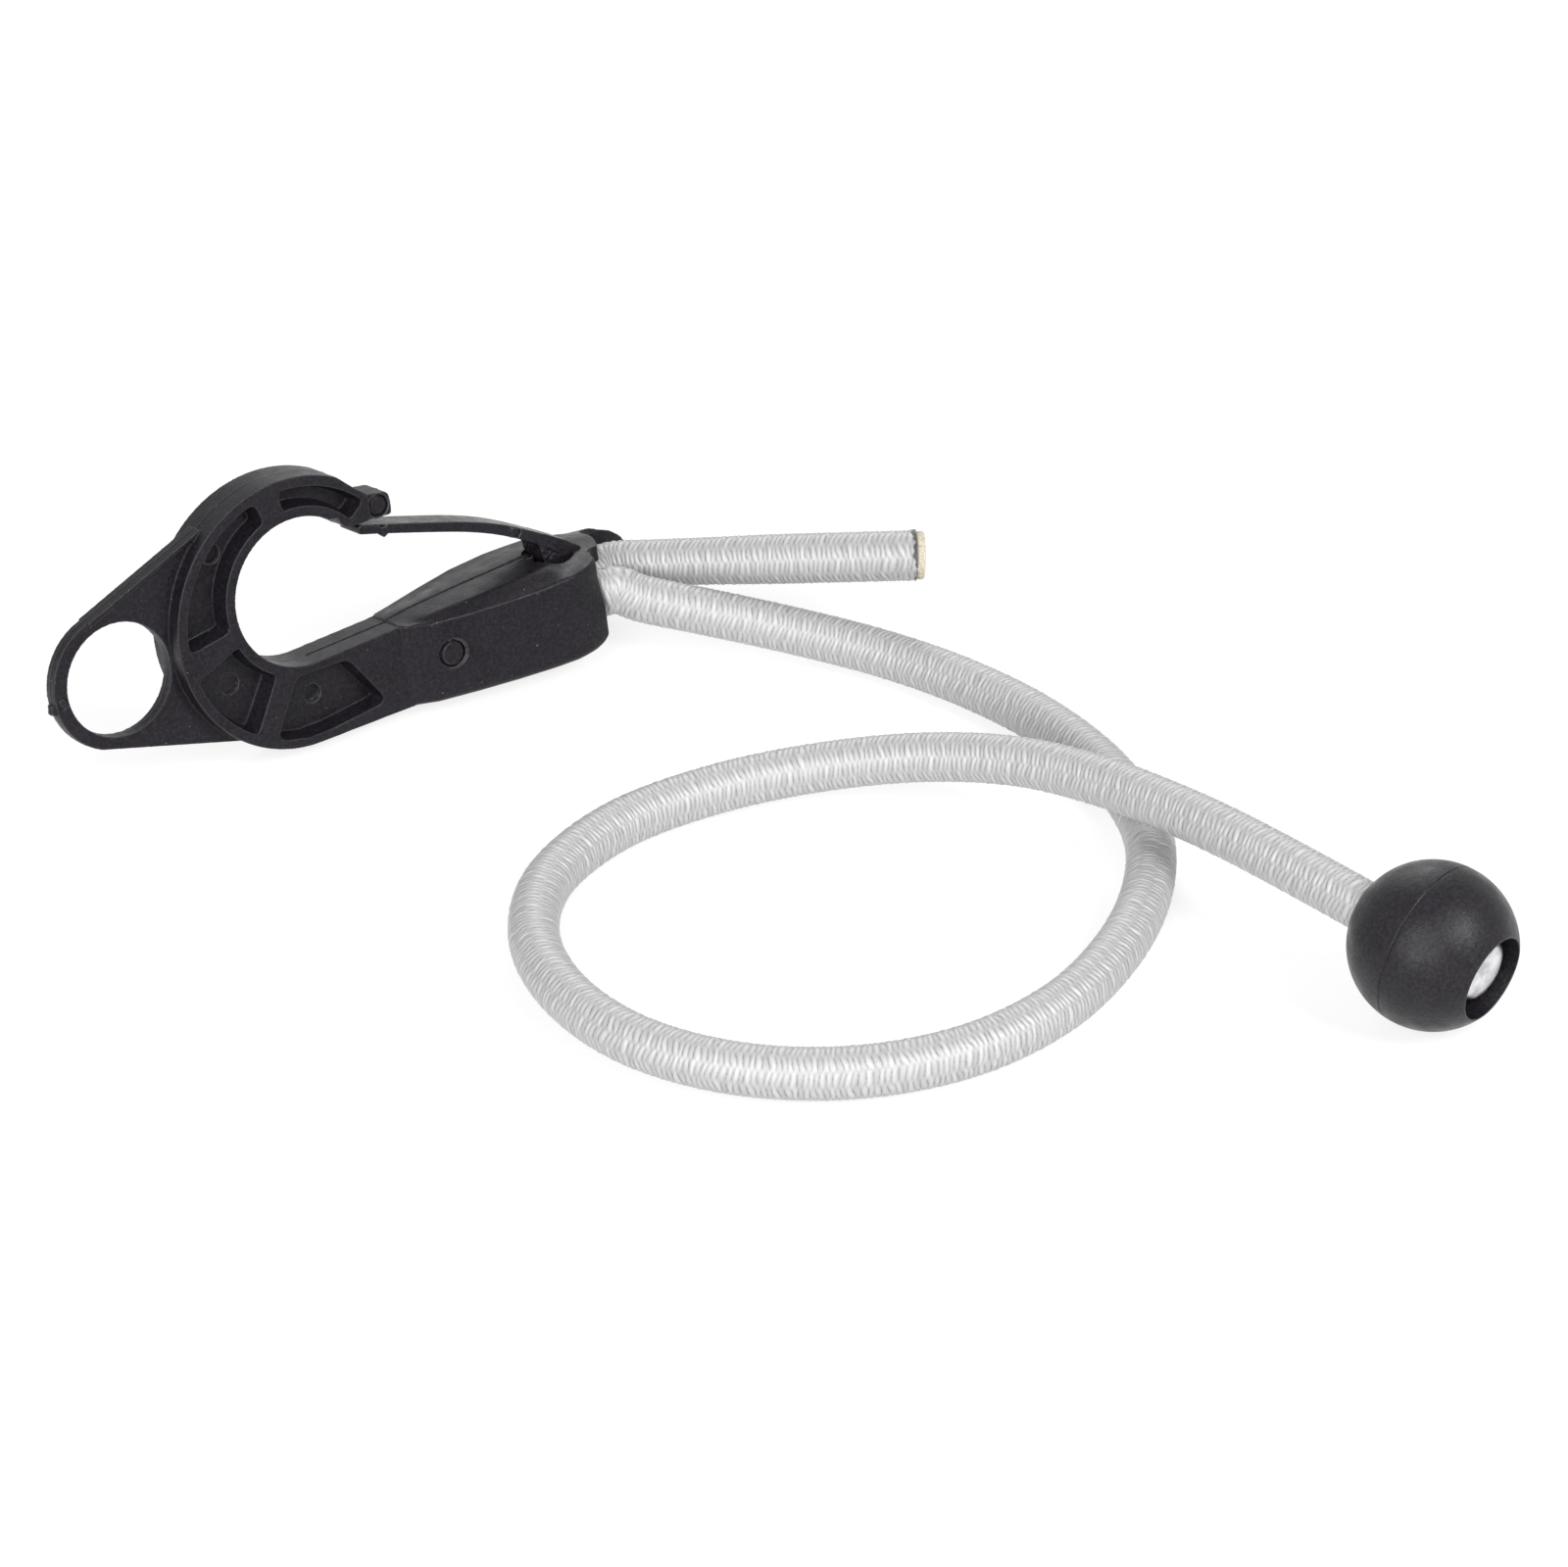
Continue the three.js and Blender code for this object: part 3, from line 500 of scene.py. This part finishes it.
def braided(name, points, half_height, half_width, cut=False, squeeze=None):
    """A braided tube, and its middle line.

    The attribute crown is 0 on melted yarn and runs from VALLEY_SHADE between the plaits, as
    painted shade, to 1 on them.
    A squeezed tube is round at its start and reaches its half height and half width between two
    places in millimetres.
    """
    line, run = smooth_line(points, PICK * MM / RINGS_PER_PICK)
    height, chart = braid(run, CORD_SIDES)
    melt = burnt(run, CORD_SIDES) if cut else np.zeros_like(height)
    sunk = BRAID_RELIEF * (1 - height) * (1 - melt) - MELT_SWELL * melt * height
    squeezed = smooth_step(run / MM, *squeeze)[:, None] if squeeze else 1
    high = CORD_RADIUS / MM + (half_height - CORD_RADIUS / MM) * squeezed
    wide = CORD_RADIUS / MM + (half_width - CORD_RADIUS / MM) * squeezed
    radii = np.stack([high - sunk, wide - sunk], axis=-1) * MM
    made = tube(name, line, radii, UP, chart)
    # Painted shade between the plaits; melted yarn is 0.
    shade = (VALLEY_SHADE + (1 - VALLEY_SHADE) * height) * (1 - melt)
    add_attribute(made.data, "crown", np.append(shade.ravel(), (0, 0)))
    return made, line[::RINGS_PER_PICK]


# Materials

def material(name):
    made = bpy.data.materials.new(name)
    made.use_nodes = True
    nodes = made.node_tree.nodes
    nodes.clear()
    out = nodes.new("ShaderNodeOutputMaterial")
    shader = nodes.new("ShaderNodeBsdfPrincipled")
    made.node_tree.links.new(shader.outputs[0], out.inputs["Surface"])
    return made, shader


def add(made, kind, **values):
    """A node with its settings and inputs; an input that is given a socket is linked to it."""
    node = made.node_tree.nodes.new(kind)
    for name, value in values.items():
        if hasattr(node, name):
            setattr(node, name, value)
            continue
        socket = node.inputs[name]
        if isinstance(value, bpy.types.NodeSocket):
            made.node_tree.links.new(value, socket)
        else:
            socket.default_value = value
    return node


def ramp(made, source, stops):
    """A colour ramp over stops of a place and a grey value or a colour."""
    node = made.node_tree.nodes.new("ShaderNodeValToRGB")
    made.node_tree.links.new(source, node.inputs[0])
    elements = node.color_ramp.elements
    while len(elements) < len(stops):
        elements.new(0.5)
    for element, (place, shade) in zip(elements, stops):
        element.position = place
        element.color = (*shade, 1) if isinstance(shade, tuple) else (shade, shade, shade, 1)
    return node.outputs["Color"]


def noise(made, where, scale, detail=2, roughness=0.5):
    node = add(made, "ShaderNodeTexNoise", Scale=scale, Detail=detail, Roughness=roughness)
    made.node_tree.links.new(where, node.inputs["Vector"])
    return node.outputs["Fac"]


def bump(made, height, strength, distance):
    node = add(made, "ShaderNodeBump", Strength=strength, Distance=distance, Height=height)
    return node.outputs["Normal"]


def laid_over(made, below, above, share):
    """One colour over another, where the share is 1."""
    mix = add(made, "ShaderNodeMix", data_type="RGBA")
    made.node_tree.links.new(share, mix.inputs["Factor"])
    made.node_tree.links.new(below, mix.inputs[6])
    mix.inputs[7].default_value = (*above, 1)
    return mix.outputs[2]


def multiplied(made, first, second):
    """The product of two colours."""
    mix = add(made, "ShaderNodeMix", data_type="RGBA", blend_type="MULTIPLY")
    mix.inputs["Factor"].default_value = 1
    made.node_tree.links.new(first, mix.inputs[6])
    made.node_tree.links.new(second, mix.inputs[7])
    return mix.outputs[2]


def shades(colour, *factors):
    """Lighter and darker shades of a colour."""
    return [tuple(factor * c for c in colour) for factor in factors]


def moulded_black(name, colour, roughness, grain, gloss, dusty):
    """Black moulded plastic: fine grain, cloudy shade, edges lightened partly as wear and partly
    as a painted highlight, and a few pale dust specks.
    """
    made, shader = material(name)
    links = made.node_tree.links
    where = add(made, "ShaderNodeTexCoord").outputs["Object"]
    cloud = noise(made, where, 160, 4)
    fine = noise(made, where, 1800, 4, 0.7)
    dust = noise(made, where, 1900, 1)
    edge = add(made, "ShaderNodeAttribute", attribute_name="worn_and_highlit").outputs["Fac"]
    dark, light, pale_grain = shades(colour, 0.75, 1.3, 4)
    # The lighter edge colour is partly wear and partly a painted highlight, as if the edges caught
    # the light.
    rubbed_highlight_colour, dust_colour = (0.075, 0.072, 0.077), (0.2, 0.2, 0.205)
    shade = ramp(made, cloud, [(0.3, dark), (0.7, light)])
    grains = ramp(made, fine, [(0.42, 0.0), (0.66, 0.55)])
    # Painted highlight and wear: convex edges take the lighter edge colour.
    rubbed_and_highlit = ramp(made, edge, [(0.05, 0.0), (0.2, 0.8)])
    specks = ramp(made, dust, [(0.775, 0.0), (0.81, dusty)])
    grainy = laid_over(made, shade, pale_grain, grains)
    worn_and_highlit = laid_over(made, grainy, rubbed_highlight_colour, rubbed_and_highlit)
    links.new(laid_over(made, worn_and_highlit, dust_colour, specks), shader.inputs["Base Color"])
    patches = noise(made, where, 420, 5)
    dull = ramp(made, patches, [(0.3, roughness - 0.08), (0.7, roughness + 0.1)])
    links.new(dull, shader.inputs["Roughness"])
    links.new(bump(made, fine, grain, 0.0001), shader.inputs["Normal"])
    shader.inputs["Specular IOR Level"].default_value = gloss
    return made


def braid_silver():
    """Silky silver yarn: filaments along each plait, with painted shade darkening it between the
    plaits.
    """
    made, shader = material("braid_silver")
    links = made.node_tree.links
    chart = add(made, "ShaderNodeUVMap", uv_map="braid").outputs["UV"]
    crown = add(made, "ShaderNodeAttribute", attribute_name="crown").outputs["Fac"]
    stretch = add(made, "ShaderNodeMapping", Vector=chart, Scale=(7.5, 0.9, 1))
    filaments = noise(made, stretch.outputs["Vector"], 1, 3, 0.6)
    yarns = add(made, "ShaderNodeMapping", Vector=chart, Location=(0.5, 0.5, 0))
    tone = noise(made, yarns.outputs["Vector"], 0.9, 1)
    # Painted shade: the colour falls from the plaits' tops into the valleys between them; the
    # darkest stop is melted yarn.
    shade = ramp(made, crown, [
        (0.0, (0.07, 0.067, 0.062)), (0.16, (0.1, 0.1, 0.1)), (0.26, (0.16, 0.16, 0.162)),
        (0.55, (0.45, 0.45, 0.454)), (1.0, (0.66, 0.66, 0.665)),
    ])
    streaked = multiplied(made, shade, ramp(made, filaments, [(0.25, 0.84), (0.75, 1.0)]))
    clouded = multiplied(made, streaked, ramp(made, tone, [(0.3, 0.93), (0.7, 1.0)]))
    links.new(clouded, shader.inputs["Base Color"])
    links.new(ramp(made, filaments, [(0.3, 0.43), (0.7, 0.55)]), shader.inputs["Roughness"])
    links.new(bump(made, filaments, 0.35, 0.00008), shader.inputs["Normal"])
    shader.inputs["Sheen Weight"].default_value = 0.04
    shader.inputs["Sheen Roughness"].default_value = 0.4
    shader.inputs["Specular IOR Level"].default_value = 1
    shader.inputs["Metallic"].default_value = 0.15
    return made


def cut_rubber():
    """Beige rubber strands, cut across, with painted shade in the gaps between them."""
    made, shader = material("cut_rubber")
    links = made.node_tree.links
    where = add(made, "ShaderNodeTexCoord").outputs["Object"]
    strands = add(
        made, "ShaderNodeTexVoronoi", Vector=where, Scale=1500, feature="DISTANCE_TO_EDGE",
    ).outputs["Distance"]
    # Painted shade: the gaps between the strands are given a darker colour.
    gap_shade, strand = (0.50, 0.43, 0.33), (0.72, 0.65, 0.53)
    links.new(ramp(made, strands, [(0.02, gap_shade), (0.14, strand)]), shader.inputs["Base Color"])
    links.new(bump(made, strands, 0.5, 0.00012), shader.inputs["Normal"])
    shader.inputs["Roughness"].default_value = 0.75
    return made


def drawn_steel():
    """Bright drawn metal with fine turning lines, and random patches of painted shade in place of
    its uneven reflections.
    """
    made, shader = material("drawn_steel")
    links = made.node_tree.links
    where = add(made, "ShaderNodeTexCoord").outputs["Object"]
    patches = noise(made, where, 420, 4)
    scratch = add(made, "ShaderNodeMapping", Vector=where, Scale=(900, 9000, 2500))
    lines = noise(made, scratch.outputs["Vector"], 1, 3)
    # Painted shade: random patches darken the metal's colour, standing in for the shading of its
    # reflections.
    shade = ramp(made, patches, [(0.35, (0.46, 0.46, 0.47)), (0.62, (0.80, 0.80, 0.81))])
    links.new(shade, shader.inputs["Base Color"])
    links.new(ramp(made, lines, [(0.3, 0.28), (0.7, 0.44)]), shader.inputs["Roughness"])
    links.new(bump(made, lines, 0.25, 0.00005), shader.inputs["Normal"])
    shader.inputs["Metallic"].default_value = 1
    return made


def edge_wear_and_highlight(piece):
    """Writes the attribute worn: 0 where the skin is flat or hollow, 0.2 and more on its edges,
    which the materials lighten partly as wear and partly as a painted highlight.
    """
    mesh = piece.data
    places, normals = read_vectors(mesh, "co"), read_vectors(mesh, "normal")
    ends = np.empty(2 * len(mesh.edges), np.int32)
    mesh.edges.foreach_get("vertices", ends)
    start, end = ends.reshape(-1, 2).T
    way = places[end] - places[start]
    way /= np.linalg.norm(way, axis=1)[:, None] + 1e-12
    count = np.bincount(ends, minlength=len(places))
    bend = np.zeros(len(places))
    np.add.at(bend, start, -(way * normals[start]).sum(axis=1))
    np.add.at(bend, end, (way * normals[end]).sum(axis=1))
    bend /= np.maximum(count, 1)
    for _ in range(2):
        around = bend.copy()
        np.add.at(around, start, bend[end])
        np.add.at(around, end, bend[start])
        bend = around / (count + 1)
    add_attribute(mesh, "worn_and_highlit", np.clip(bend, 0, 1))


def dress(piece, made):
    piece.data.materials.clear()
    piece.data.materials.append(made)


# Camera

camera_data = bpy.data.cameras.new("camera")
camera_data.lens = CAMERA_LENS
camera_data.sensor_fit = "HORIZONTAL"
camera_data.sensor_width = SENSOR_WIDTH
camera_data.clip_start = CLIP_NEAR
camera_data.clip_end = CLIP_FAR
camera = bpy.data.objects.new("camera", camera_data)
camera.location = CAMERA_PLACE
camera.rotation_mode = "QUATERNION"
camera.rotation_quaternion = CAMERA_LOOK.to_track_quat("-Z", "Y")
bpy.context.scene.collection.objects.link(camera)
bpy.context.scene.camera = camera

# Main cord

braid_look = braid_silver()
rubber_look = cut_rubber()

main_points = [loop_point(FRONT_LEG, LEG_OFFSET), loop_point(FRONT_LEG + LEG_LEAD, LEG_OFFSET)]
main_points += [Vector(p) for p in MAIN_ROUTE]
main_points += [on_ball(-BALL_RADIUS - LEG_LEAD), on_ball(-BALL_RADIUS), on_ball(CORD_END)]
main_cord, main_line = braided("main_cord", main_points, CORD_RADIUS / MM, CORD_RADIUS / MM)
dress(main_cord, braid_look)
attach(main_cord, "hook")
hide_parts("main_sheath", "main_core")

# Tail with its cut core

tail_end = Vector(TAIL_ROUTE[-1])
tail_way = tail_end - Vector(TAIL_ROUTE[-2])
tail_way.normalize()

tail_points = [loop_point(BACK_LEG, -LEG_OFFSET), loop_point(BACK_LEG + LEG_LEAD, -LEG_OFFSET)]
tail_points += [Vector(p) for p in TAIL_ROUTE]
tail_cord, tail_line = braided(
    "tail_cord", tail_points, TAIL_END_RADIUS, TAIL_END_RADIUS, cut=True, squeeze=TAIL_SWELL,
)
slant_cut(tail_cord, tail_end, tail_way)
dress(tail_cord, braid_look)
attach(tail_cord, "hook")
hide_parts("tail_sheath")

# Corners: radius, place past the tail's end and rounding, in millimetres
core_profile = rounded([
    (0, -1.5, 0), (3.4, -1.5, 0), (3.92, 0.1, 0.3),
    (4.02, 0.8, 0.4), (3.85, 1.45, 0.5), (0, 1.35, 0),
])
tail_rubber = lathe("tail_rubber", core_profile, tail_end, tail_way, SMALL_LATHE_SIDES)
slant_cut(tail_rubber, tail_end, tail_way)
dress(tail_rubber, rubber_look)
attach(tail_rubber, "hook")
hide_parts("tail_core")

# Loop held in the sleeve

held_points = [
    loop_point(FRONT_LEG + HELD_OVERLAP, LEG_OFFSET),
    loop_point(FRONT_LEG - HELD_STRAIGHT, LEG_OFFSET),
]
for step in range(HELD_BENDS + 1):
    angle = math.pi / 2 + math.pi * step / HELD_BENDS
    held_points.append(loop_point(LEG_OFFSET * math.cos(angle), LEG_OFFSET * math.sin(angle)))
held_points.append(loop_point(BACK_LEG - HELD_SHORT, -LEG_OFFSET))
held_cord, _ = braided(
    "held_cord", held_points, HELD_HALF_HEIGHT, HELD_HALF_WIDTH, squeeze=HELD_SQUEEZE,
)
dress(held_cord, braid_look)
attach(held_cord, "hook")
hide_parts("held_sheath", "held_core")


# Moulded pieces: the solids are taken over and their edges rounded as a mould leaves them

def skin_of(piece):
    """The mesh of a piece with its modifiers; the piece itself is removed."""
    bpy.context.view_layer.update()
    shape = piece.evaluated_get(bpy.context.evaluated_depsgraph_get())
    mesh = bpy.data.meshes.new_from_object(shape)
    bpy.data.objects.remove(piece)
    return mesh


def moulding(name, nodes, voxel, keep, extra, finish):
    """One skin over the named solids and extra pieces, smoothed and thinned.

    The voxel is in millimetres. The function finish works fine detail into the skin before it is
    thinned. The extra pieces are removed.
    """
    points, faces = [], []
    for mesh in [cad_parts[n].data for n in nodes] + [e.data for e in extra]:
        first = len(points)
        points += [tuple(v.co / MM) for v in mesh.vertices]
        faces += [[first + i for i in p.vertices] for p in mesh.polygons]
    rough = new_object(name + "_rough", points, faces)
    weld(rough)
    remesh = rough.modifiers.new("skin", "REMESH")
    remesh.mode = "VOXEL"
    remesh.voxel_size = voxel
    soften = rough.modifiers.new("soften", "SMOOTH")
    soften.factor = SOFTEN
    soften.iterations = SKIN_PASSES
    fine = bpy.data.objects.new(name + "_fine", skin_of(rough))
    fine.data.transform(Matrix.Scale(MM, 4))
    bpy.context.scene.collection.objects.link(fine)
    finish(fine.data)
    thin = fine.modifiers.new("thin", "DECIMATE")
    thin.ratio = keep
    mesh = skin_of(fine)
    mesh.name = name
    mesh.shade_smooth()
    made = bpy.data.objects.new(name, mesh)
    bpy.context.scene.collection.objects.link(made)
    for piece in extra:
        bpy.data.objects.remove(piece)
    return made


def hook_prism(name, corners, low, high):
    """A prism over corners in the hook's plane, between two places out of it, in millimetres."""
    count = len(corners)
    points = [hook_point(u, v, n) for n in (low, high) for u, v in corners]
    ends = [list(range(count))[::-1], list(range(count, 2 * count))]
    sides = [[i, (i + 1) % count, (i + 1) % count + count, i + count] for i in range(count)]
    return new_object(name, points, ends + sides)


def skin_points(mesh):
    """Points in the hook's millimetres, and their normals along, up and out of the hook."""
    ways = np.array([ALONG, UP, OUT]).T
    return in_hook(read_vectors(mesh, "co")), read_vectors(mesh, "normal") @ ways


def put_points(mesh, points):
    """Sets the points of a mesh, given in the hook's millimetres."""
    write_places(mesh, points * MM @ np.array([ALONG, UP, OUT]) + np.array(HOOK_PLACE))


def pin_marks(points, normals, marks):
    """How deep the round marks of the mould's pins are sunk."""
    u, v, n = points.T
    sunk = np.zeros(len(points))
    for at_u, at_v, radius, level, pit, rim in marks:
        reach = np.hypot(u - at_u, v - at_v)
        near = (np.abs(n - level) < MARK_BAND) & (normals[:, 2] > 0.3)
        near = near & (reach < radius + MARK_MARGIN)
        past = np.minimum(reach - radius, MARK_MARGIN)
        inside = 1 / (1 + np.exp((past + MARK_INSET) / MARK_EDGE))
        sunk += near * (pit * inside + rim * bell(reach - radius, MARK_RIM))
    return sunk


def torn(points):
    """An uneven height, from about -1 to 1, as of torn plastic."""
    u, v, n = points.T
    waves = np.sin(3.1 * u + 2.3 * n + 1.3 * np.sin(2.9 * v + n))
    waves = waves * np.sin(4.7 * n - 3.3 * v + np.sin(3.7 * u))
    fine = np.sin(8.3 * u + 5.9 * v + 2 * np.sin(4.1 * n)) * np.sin(7.1 * n + 3.7 * u)
    return waves + 0.6 * fine


def crown_lift(u, n):
    """How far the crown's front stands over an even fall: flatter first, steeper near its rim."""
    half, crest, rim = (np.interp(u, CROWN[:, 0], CROWN[:, k]) for k in (1, 2, 3))
    t = np.clip(n / half, 0, 1)
    share = CROWN_EVEN * t + (1 - CROWN_EVEN) * smooth_step(t, CROWN_STEEP, 1)
    share = share - smooth_step(t, 0, 1)
    faded = share * smooth_step(u, *CROWN_FADE_IN) * (1 - smooth_step(u, *CROWN_FADE_OUT))
    return (rim - crest) * faded


def shape_sleeve(points, normals):
    """Gives the sleeve's top its crown and rounds the front corner of its mouth, in place."""
    u, v, n = points.T
    top = (normals[:, 1] > 0.5) * (v > CROWN_LOW) * (v < CROWN_HIGH)
    points[:, 1] += top * crown_lift(u, n)
    corner = np.clip((u - CORNER_START) / CORNER_RUN, 0, CORNER_MOST) ** 2
    corner = corner * smooth_step(n, *CORNER_OUT)
    points[:, 2] -= CORNER_DEPTH * corner * (0.5 + 0.5 * smooth_step(v, *CORNER_UP))


def hook_detail(mesh):
    """The sleeve's shape, pin marks, the mould's parting lines and a torn hollow."""
    points, normals = skin_points(mesh)
    shape_sleeve(points, normals)
    u, v, n = points.T
    sunk = pin_marks(points, normals, HOOK_MARKS)
    across = (np.abs(normals[:, 2]) < 0.6) & (u < MOUTH)
    crest = across & (normals[:, 1] > 0.6) & (u > CREST_START)
    crest = crest & (v < CROWN_HIGH) & (v > CREST_LOW)
    sunk += crest * CREST_DEPTH * bell(n, CREST_WIDTH)
    sunk -= (across & ~crest) * PARTING_HEIGHT * bell(n, PARTING_WIDTH)
    front = (normals[:, 2] > 0.7) * (n > STEP_OUT) * (v < STEP_TOP)
    front = front * smooth_step(-v, *STEP_FADE)
    from_step = u - STEP_PLACE + STEP_LEAN * (v - STEP_MIDDLE)
    sunk -= front * STEP_HEIGHT * bell(from_step, STEP_WIDTH)
    hollow = bell(np.hypot(u - HOLLOW[0], n - HOLLOW[1]), HOLLOW_RADIUS)
    sunk += (normals[:, 1] > 0.1) * (v > HOLLOW_LOW) * hollow * HOLLOW_DEPTH * torn(points)
    put_points(mesh, points - normals * sunk[:, None])


def gate_detail(mesh):
    """The leaf's pin mark and the torn underside of its root."""
    points, normals = skin_points(mesh)
    sunk = pin_marks(points, normals, LEAF_MARKS)
    u, v, _ = points.T
    root = bell(u - ROOT[0], ROOT_REACH[0]) * bell(v - ROOT[1], ROOT_REACH[1])
    sunk += root * ROOT_DEPTH * torn(points)
    put_points(mesh, points - normals * sunk[:, None])


NYLON_BLACK = (0.0080, 0.0070, 0.0093)
BALL_BLACK = (0.0100, 0.0089, 0.0111)
nylon_look = moulded_black(
    "black_nylon", NYLON_BLACK, roughness=0.36, grain=0.6, gloss=0.2, dusty=0.8,
)
gate_look = moulded_black(
    "gate_nylon", NYLON_BLACK, roughness=0.28, grain=0.6, gloss=0.2, dusty=0.5,
)
ball_look = moulded_black(
    "black_ball", BALL_BLACK, roughness=0.34, grain=0.9, gloss=0.24, dusty=0.0,
)

additions = [hook_prism(name, *prism) for name, prism in ADDITIONS.items()]
hook = moulding("hook_moulding", ["hook_body"], HOOK_VOXEL, HOOK_KEEP, additions, hook_detail)
edge_wear_and_highlight(hook)
dress(hook, nylon_look)
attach(hook, "hook")
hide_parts("hook_body")

neck = hook_prism("neck", *NECK)
gate = moulding(
    "gate_tongue", ["gate_leaf", "gate_anchor"], GATE_VOXEL, GATE_KEEP, [neck], gate_detail,
)
edge_wear_and_highlight(gate)
dress(gate, gate_look)
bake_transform(gate)
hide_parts("gate_leaf", "gate_anchor")


# Ball and cap

def ball_profile():
    """The ball's outline from its mouth round to its counterbore, and back through the bore."""
    mouth = math.asin((BORE_RADIUS + BORE_FLARE) / BALL_RADIUS)
    rim = math.pi - math.asin((COUNTERBORE_RADIUS + RIM_ROUND) / BALL_RADIUS)
    seam = math.acos(BALL_SEAM / BALL_RADIUS)
    close = np.linspace(seam - BALL_SEAM_SPAN, seam + BALL_SEAM_SPAN, BALL_SEAM_STEPS)
    line = []
    for angle in np.sort(np.append(np.linspace(mouth, rim, BALL_STEPS), close)):
        along = -BALL_RADIUS * math.cos(angle)
        groove = BALL_SEAM_DEPTH * bell(along + BALL_SEAM, BALL_SEAM_WIDTH)
        line.append(((BALL_RADIUS - groove) * math.sin(angle), along))
    edge = line[-1][1]
    line += rounded([
        (*line[-1], 0), (COUNTERBORE_RADIUS, edge + 0.02, RIM_ROUND),
        (COUNTERBORE_RADIUS, COUNTERBORE_FLOOR, 0.3), (BORE_RADIUS, COUNTERBORE_FLOOR, 0.3),
        (BORE_RADIUS, line[0][1] + BORE_FLARE, 0.5), (*line[0], 0),
    ])[1:]
    return line


ball = lathe("toggle_knob", ball_profile(), BALL_CENTRE, BALL_AXIS)
edge_wear_and_highlight(ball)
dress(ball, ball_look)
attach(ball, "ball")
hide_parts("toggle_ball")

cap_end = CAP_START + CAP_LENGTH
cap_profile = rounded([
    (BORE_RADIUS, CAP_START + 0.2, 0), (BORE_RADIUS, CAP_START, 0.15),
    (CAP_RADIUS - 0.1, CAP_START, 0.25), (CAP_RADIUS, CAP_START + 1.2, 0.8),
    (CAP_RADIUS - 0.05, cap_end - 2.4, 1.3), (4.6, cap_end - 0.8, 1.4),
    (2.8, cap_end - 0.15, 1.2), (0, cap_end, 0),
])
cap_centre = tuple(a + b for a, b in zip(BALL_CENTRE, CAP_SHIFT))
cap = lathe("crimp_cap", cap_profile, cap_centre, BALL_AXIS, SMALL_LATHE_SIDES)
dress(cap, drawn_steel())
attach(cap, "hook")
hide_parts("end_cap")


# Stage and light

def pale(tree, out, lit, glow):
    """Shows one shader to the camera and to reflections, and lights the object by another."""
    path = tree.nodes.new("ShaderNodeLightPath")
    seen = path.outputs["Is Camera Ray"]
    for ray in ("Is Glossy Ray", "Is Transmission Ray"):
        both = tree.nodes.new("ShaderNodeMath")
        both.operation = "MAXIMUM"
        tree.links.new(seen, both.inputs[0])
        tree.links.new(path.outputs[ray], both.inputs[1])
        seen = both.outputs[0]
    mix = tree.nodes.new("ShaderNodeMixShader")
    tree.links.new(seen, mix.inputs[0])
    tree.links.new(lit.outputs[0], mix.inputs[1])
    tree.links.new(glow.outputs[0], mix.inputs[2])
    tree.links.new(mix.outputs[0], out.inputs["Surface"])


def floor_material():
    """A pale floor: to the eye it glows nearly white and keeps the shadows."""
    made = bpy.data.materials.new("floor")
    made.use_nodes = True
    tree = made.node_tree
    tree.nodes.clear()
    out = tree.nodes.new("ShaderNodeOutputMaterial")
    lit = add(made, "ShaderNodeBsdfDiffuse", Color=(FLOOR_LIT, FLOOR_LIT, FLOOR_LIT, 1))
    glow = add(made, "ShaderNodeEmission", Strength=FLOOR_GLOW)
    shade = add(made, "ShaderNodeBsdfDiffuse", Color=(FLOOR_SHADE, FLOOR_SHADE, FLOOR_SHADE, 1))
    both = tree.nodes.new("ShaderNodeAddShader")
    tree.links.new(glow.outputs[0], both.inputs[0])
    tree.links.new(shade.outputs[0], both.inputs[1])
    pale(tree, out, lit, both)
    return made


def studio_world():
    made = bpy.data.worlds.new("studio")
    made.use_nodes = True
    tree = made.node_tree
    tree.nodes.clear()
    out = tree.nodes.new("ShaderNodeOutputWorld")
    lit = add(made, "ShaderNodeBackground", Strength=WORLD_LIT)
    glow = add(made, "ShaderNodeBackground", Strength=WORLD_GLOW)
    pale(tree, out, lit, glow)
    return made


def softbox(name, place, target, size, power):
    data = bpy.data.lights.new(name, "AREA")
    data.shape = "RECTANGLE"
    data.size, data.size_y = size
    data.energy = power
    lamp = bpy.data.objects.new(name, data)
    lamp.location = place
    lamp.rotation_mode = "QUATERNION"
    lamp.rotation_quaternion = (Vector(target) - Vector(place)).to_track_quat("-Z", "Y")
    bpy.context.scene.collection.objects.link(lamp)


floor_corners = [
    (-FLOOR_HALF, -FLOOR_HALF, 0), (FLOOR_HALF, -FLOOR_HALF, 0),
    (FLOOR_HALF, FLOOR_HALF, 0), (-FLOOR_HALF, FLOOR_HALF, 0),
]
floor = new_object("floor", floor_corners, [[0, 1, 2, 3]])
dress(floor, floor_material())

bpy.context.scene.world = studio_world()
for lamp_name, lamp_values in LAMPS.items():
    softbox(lamp_name, *lamp_values)

bpy.context.scene.view_settings.view_transform = "Standard"
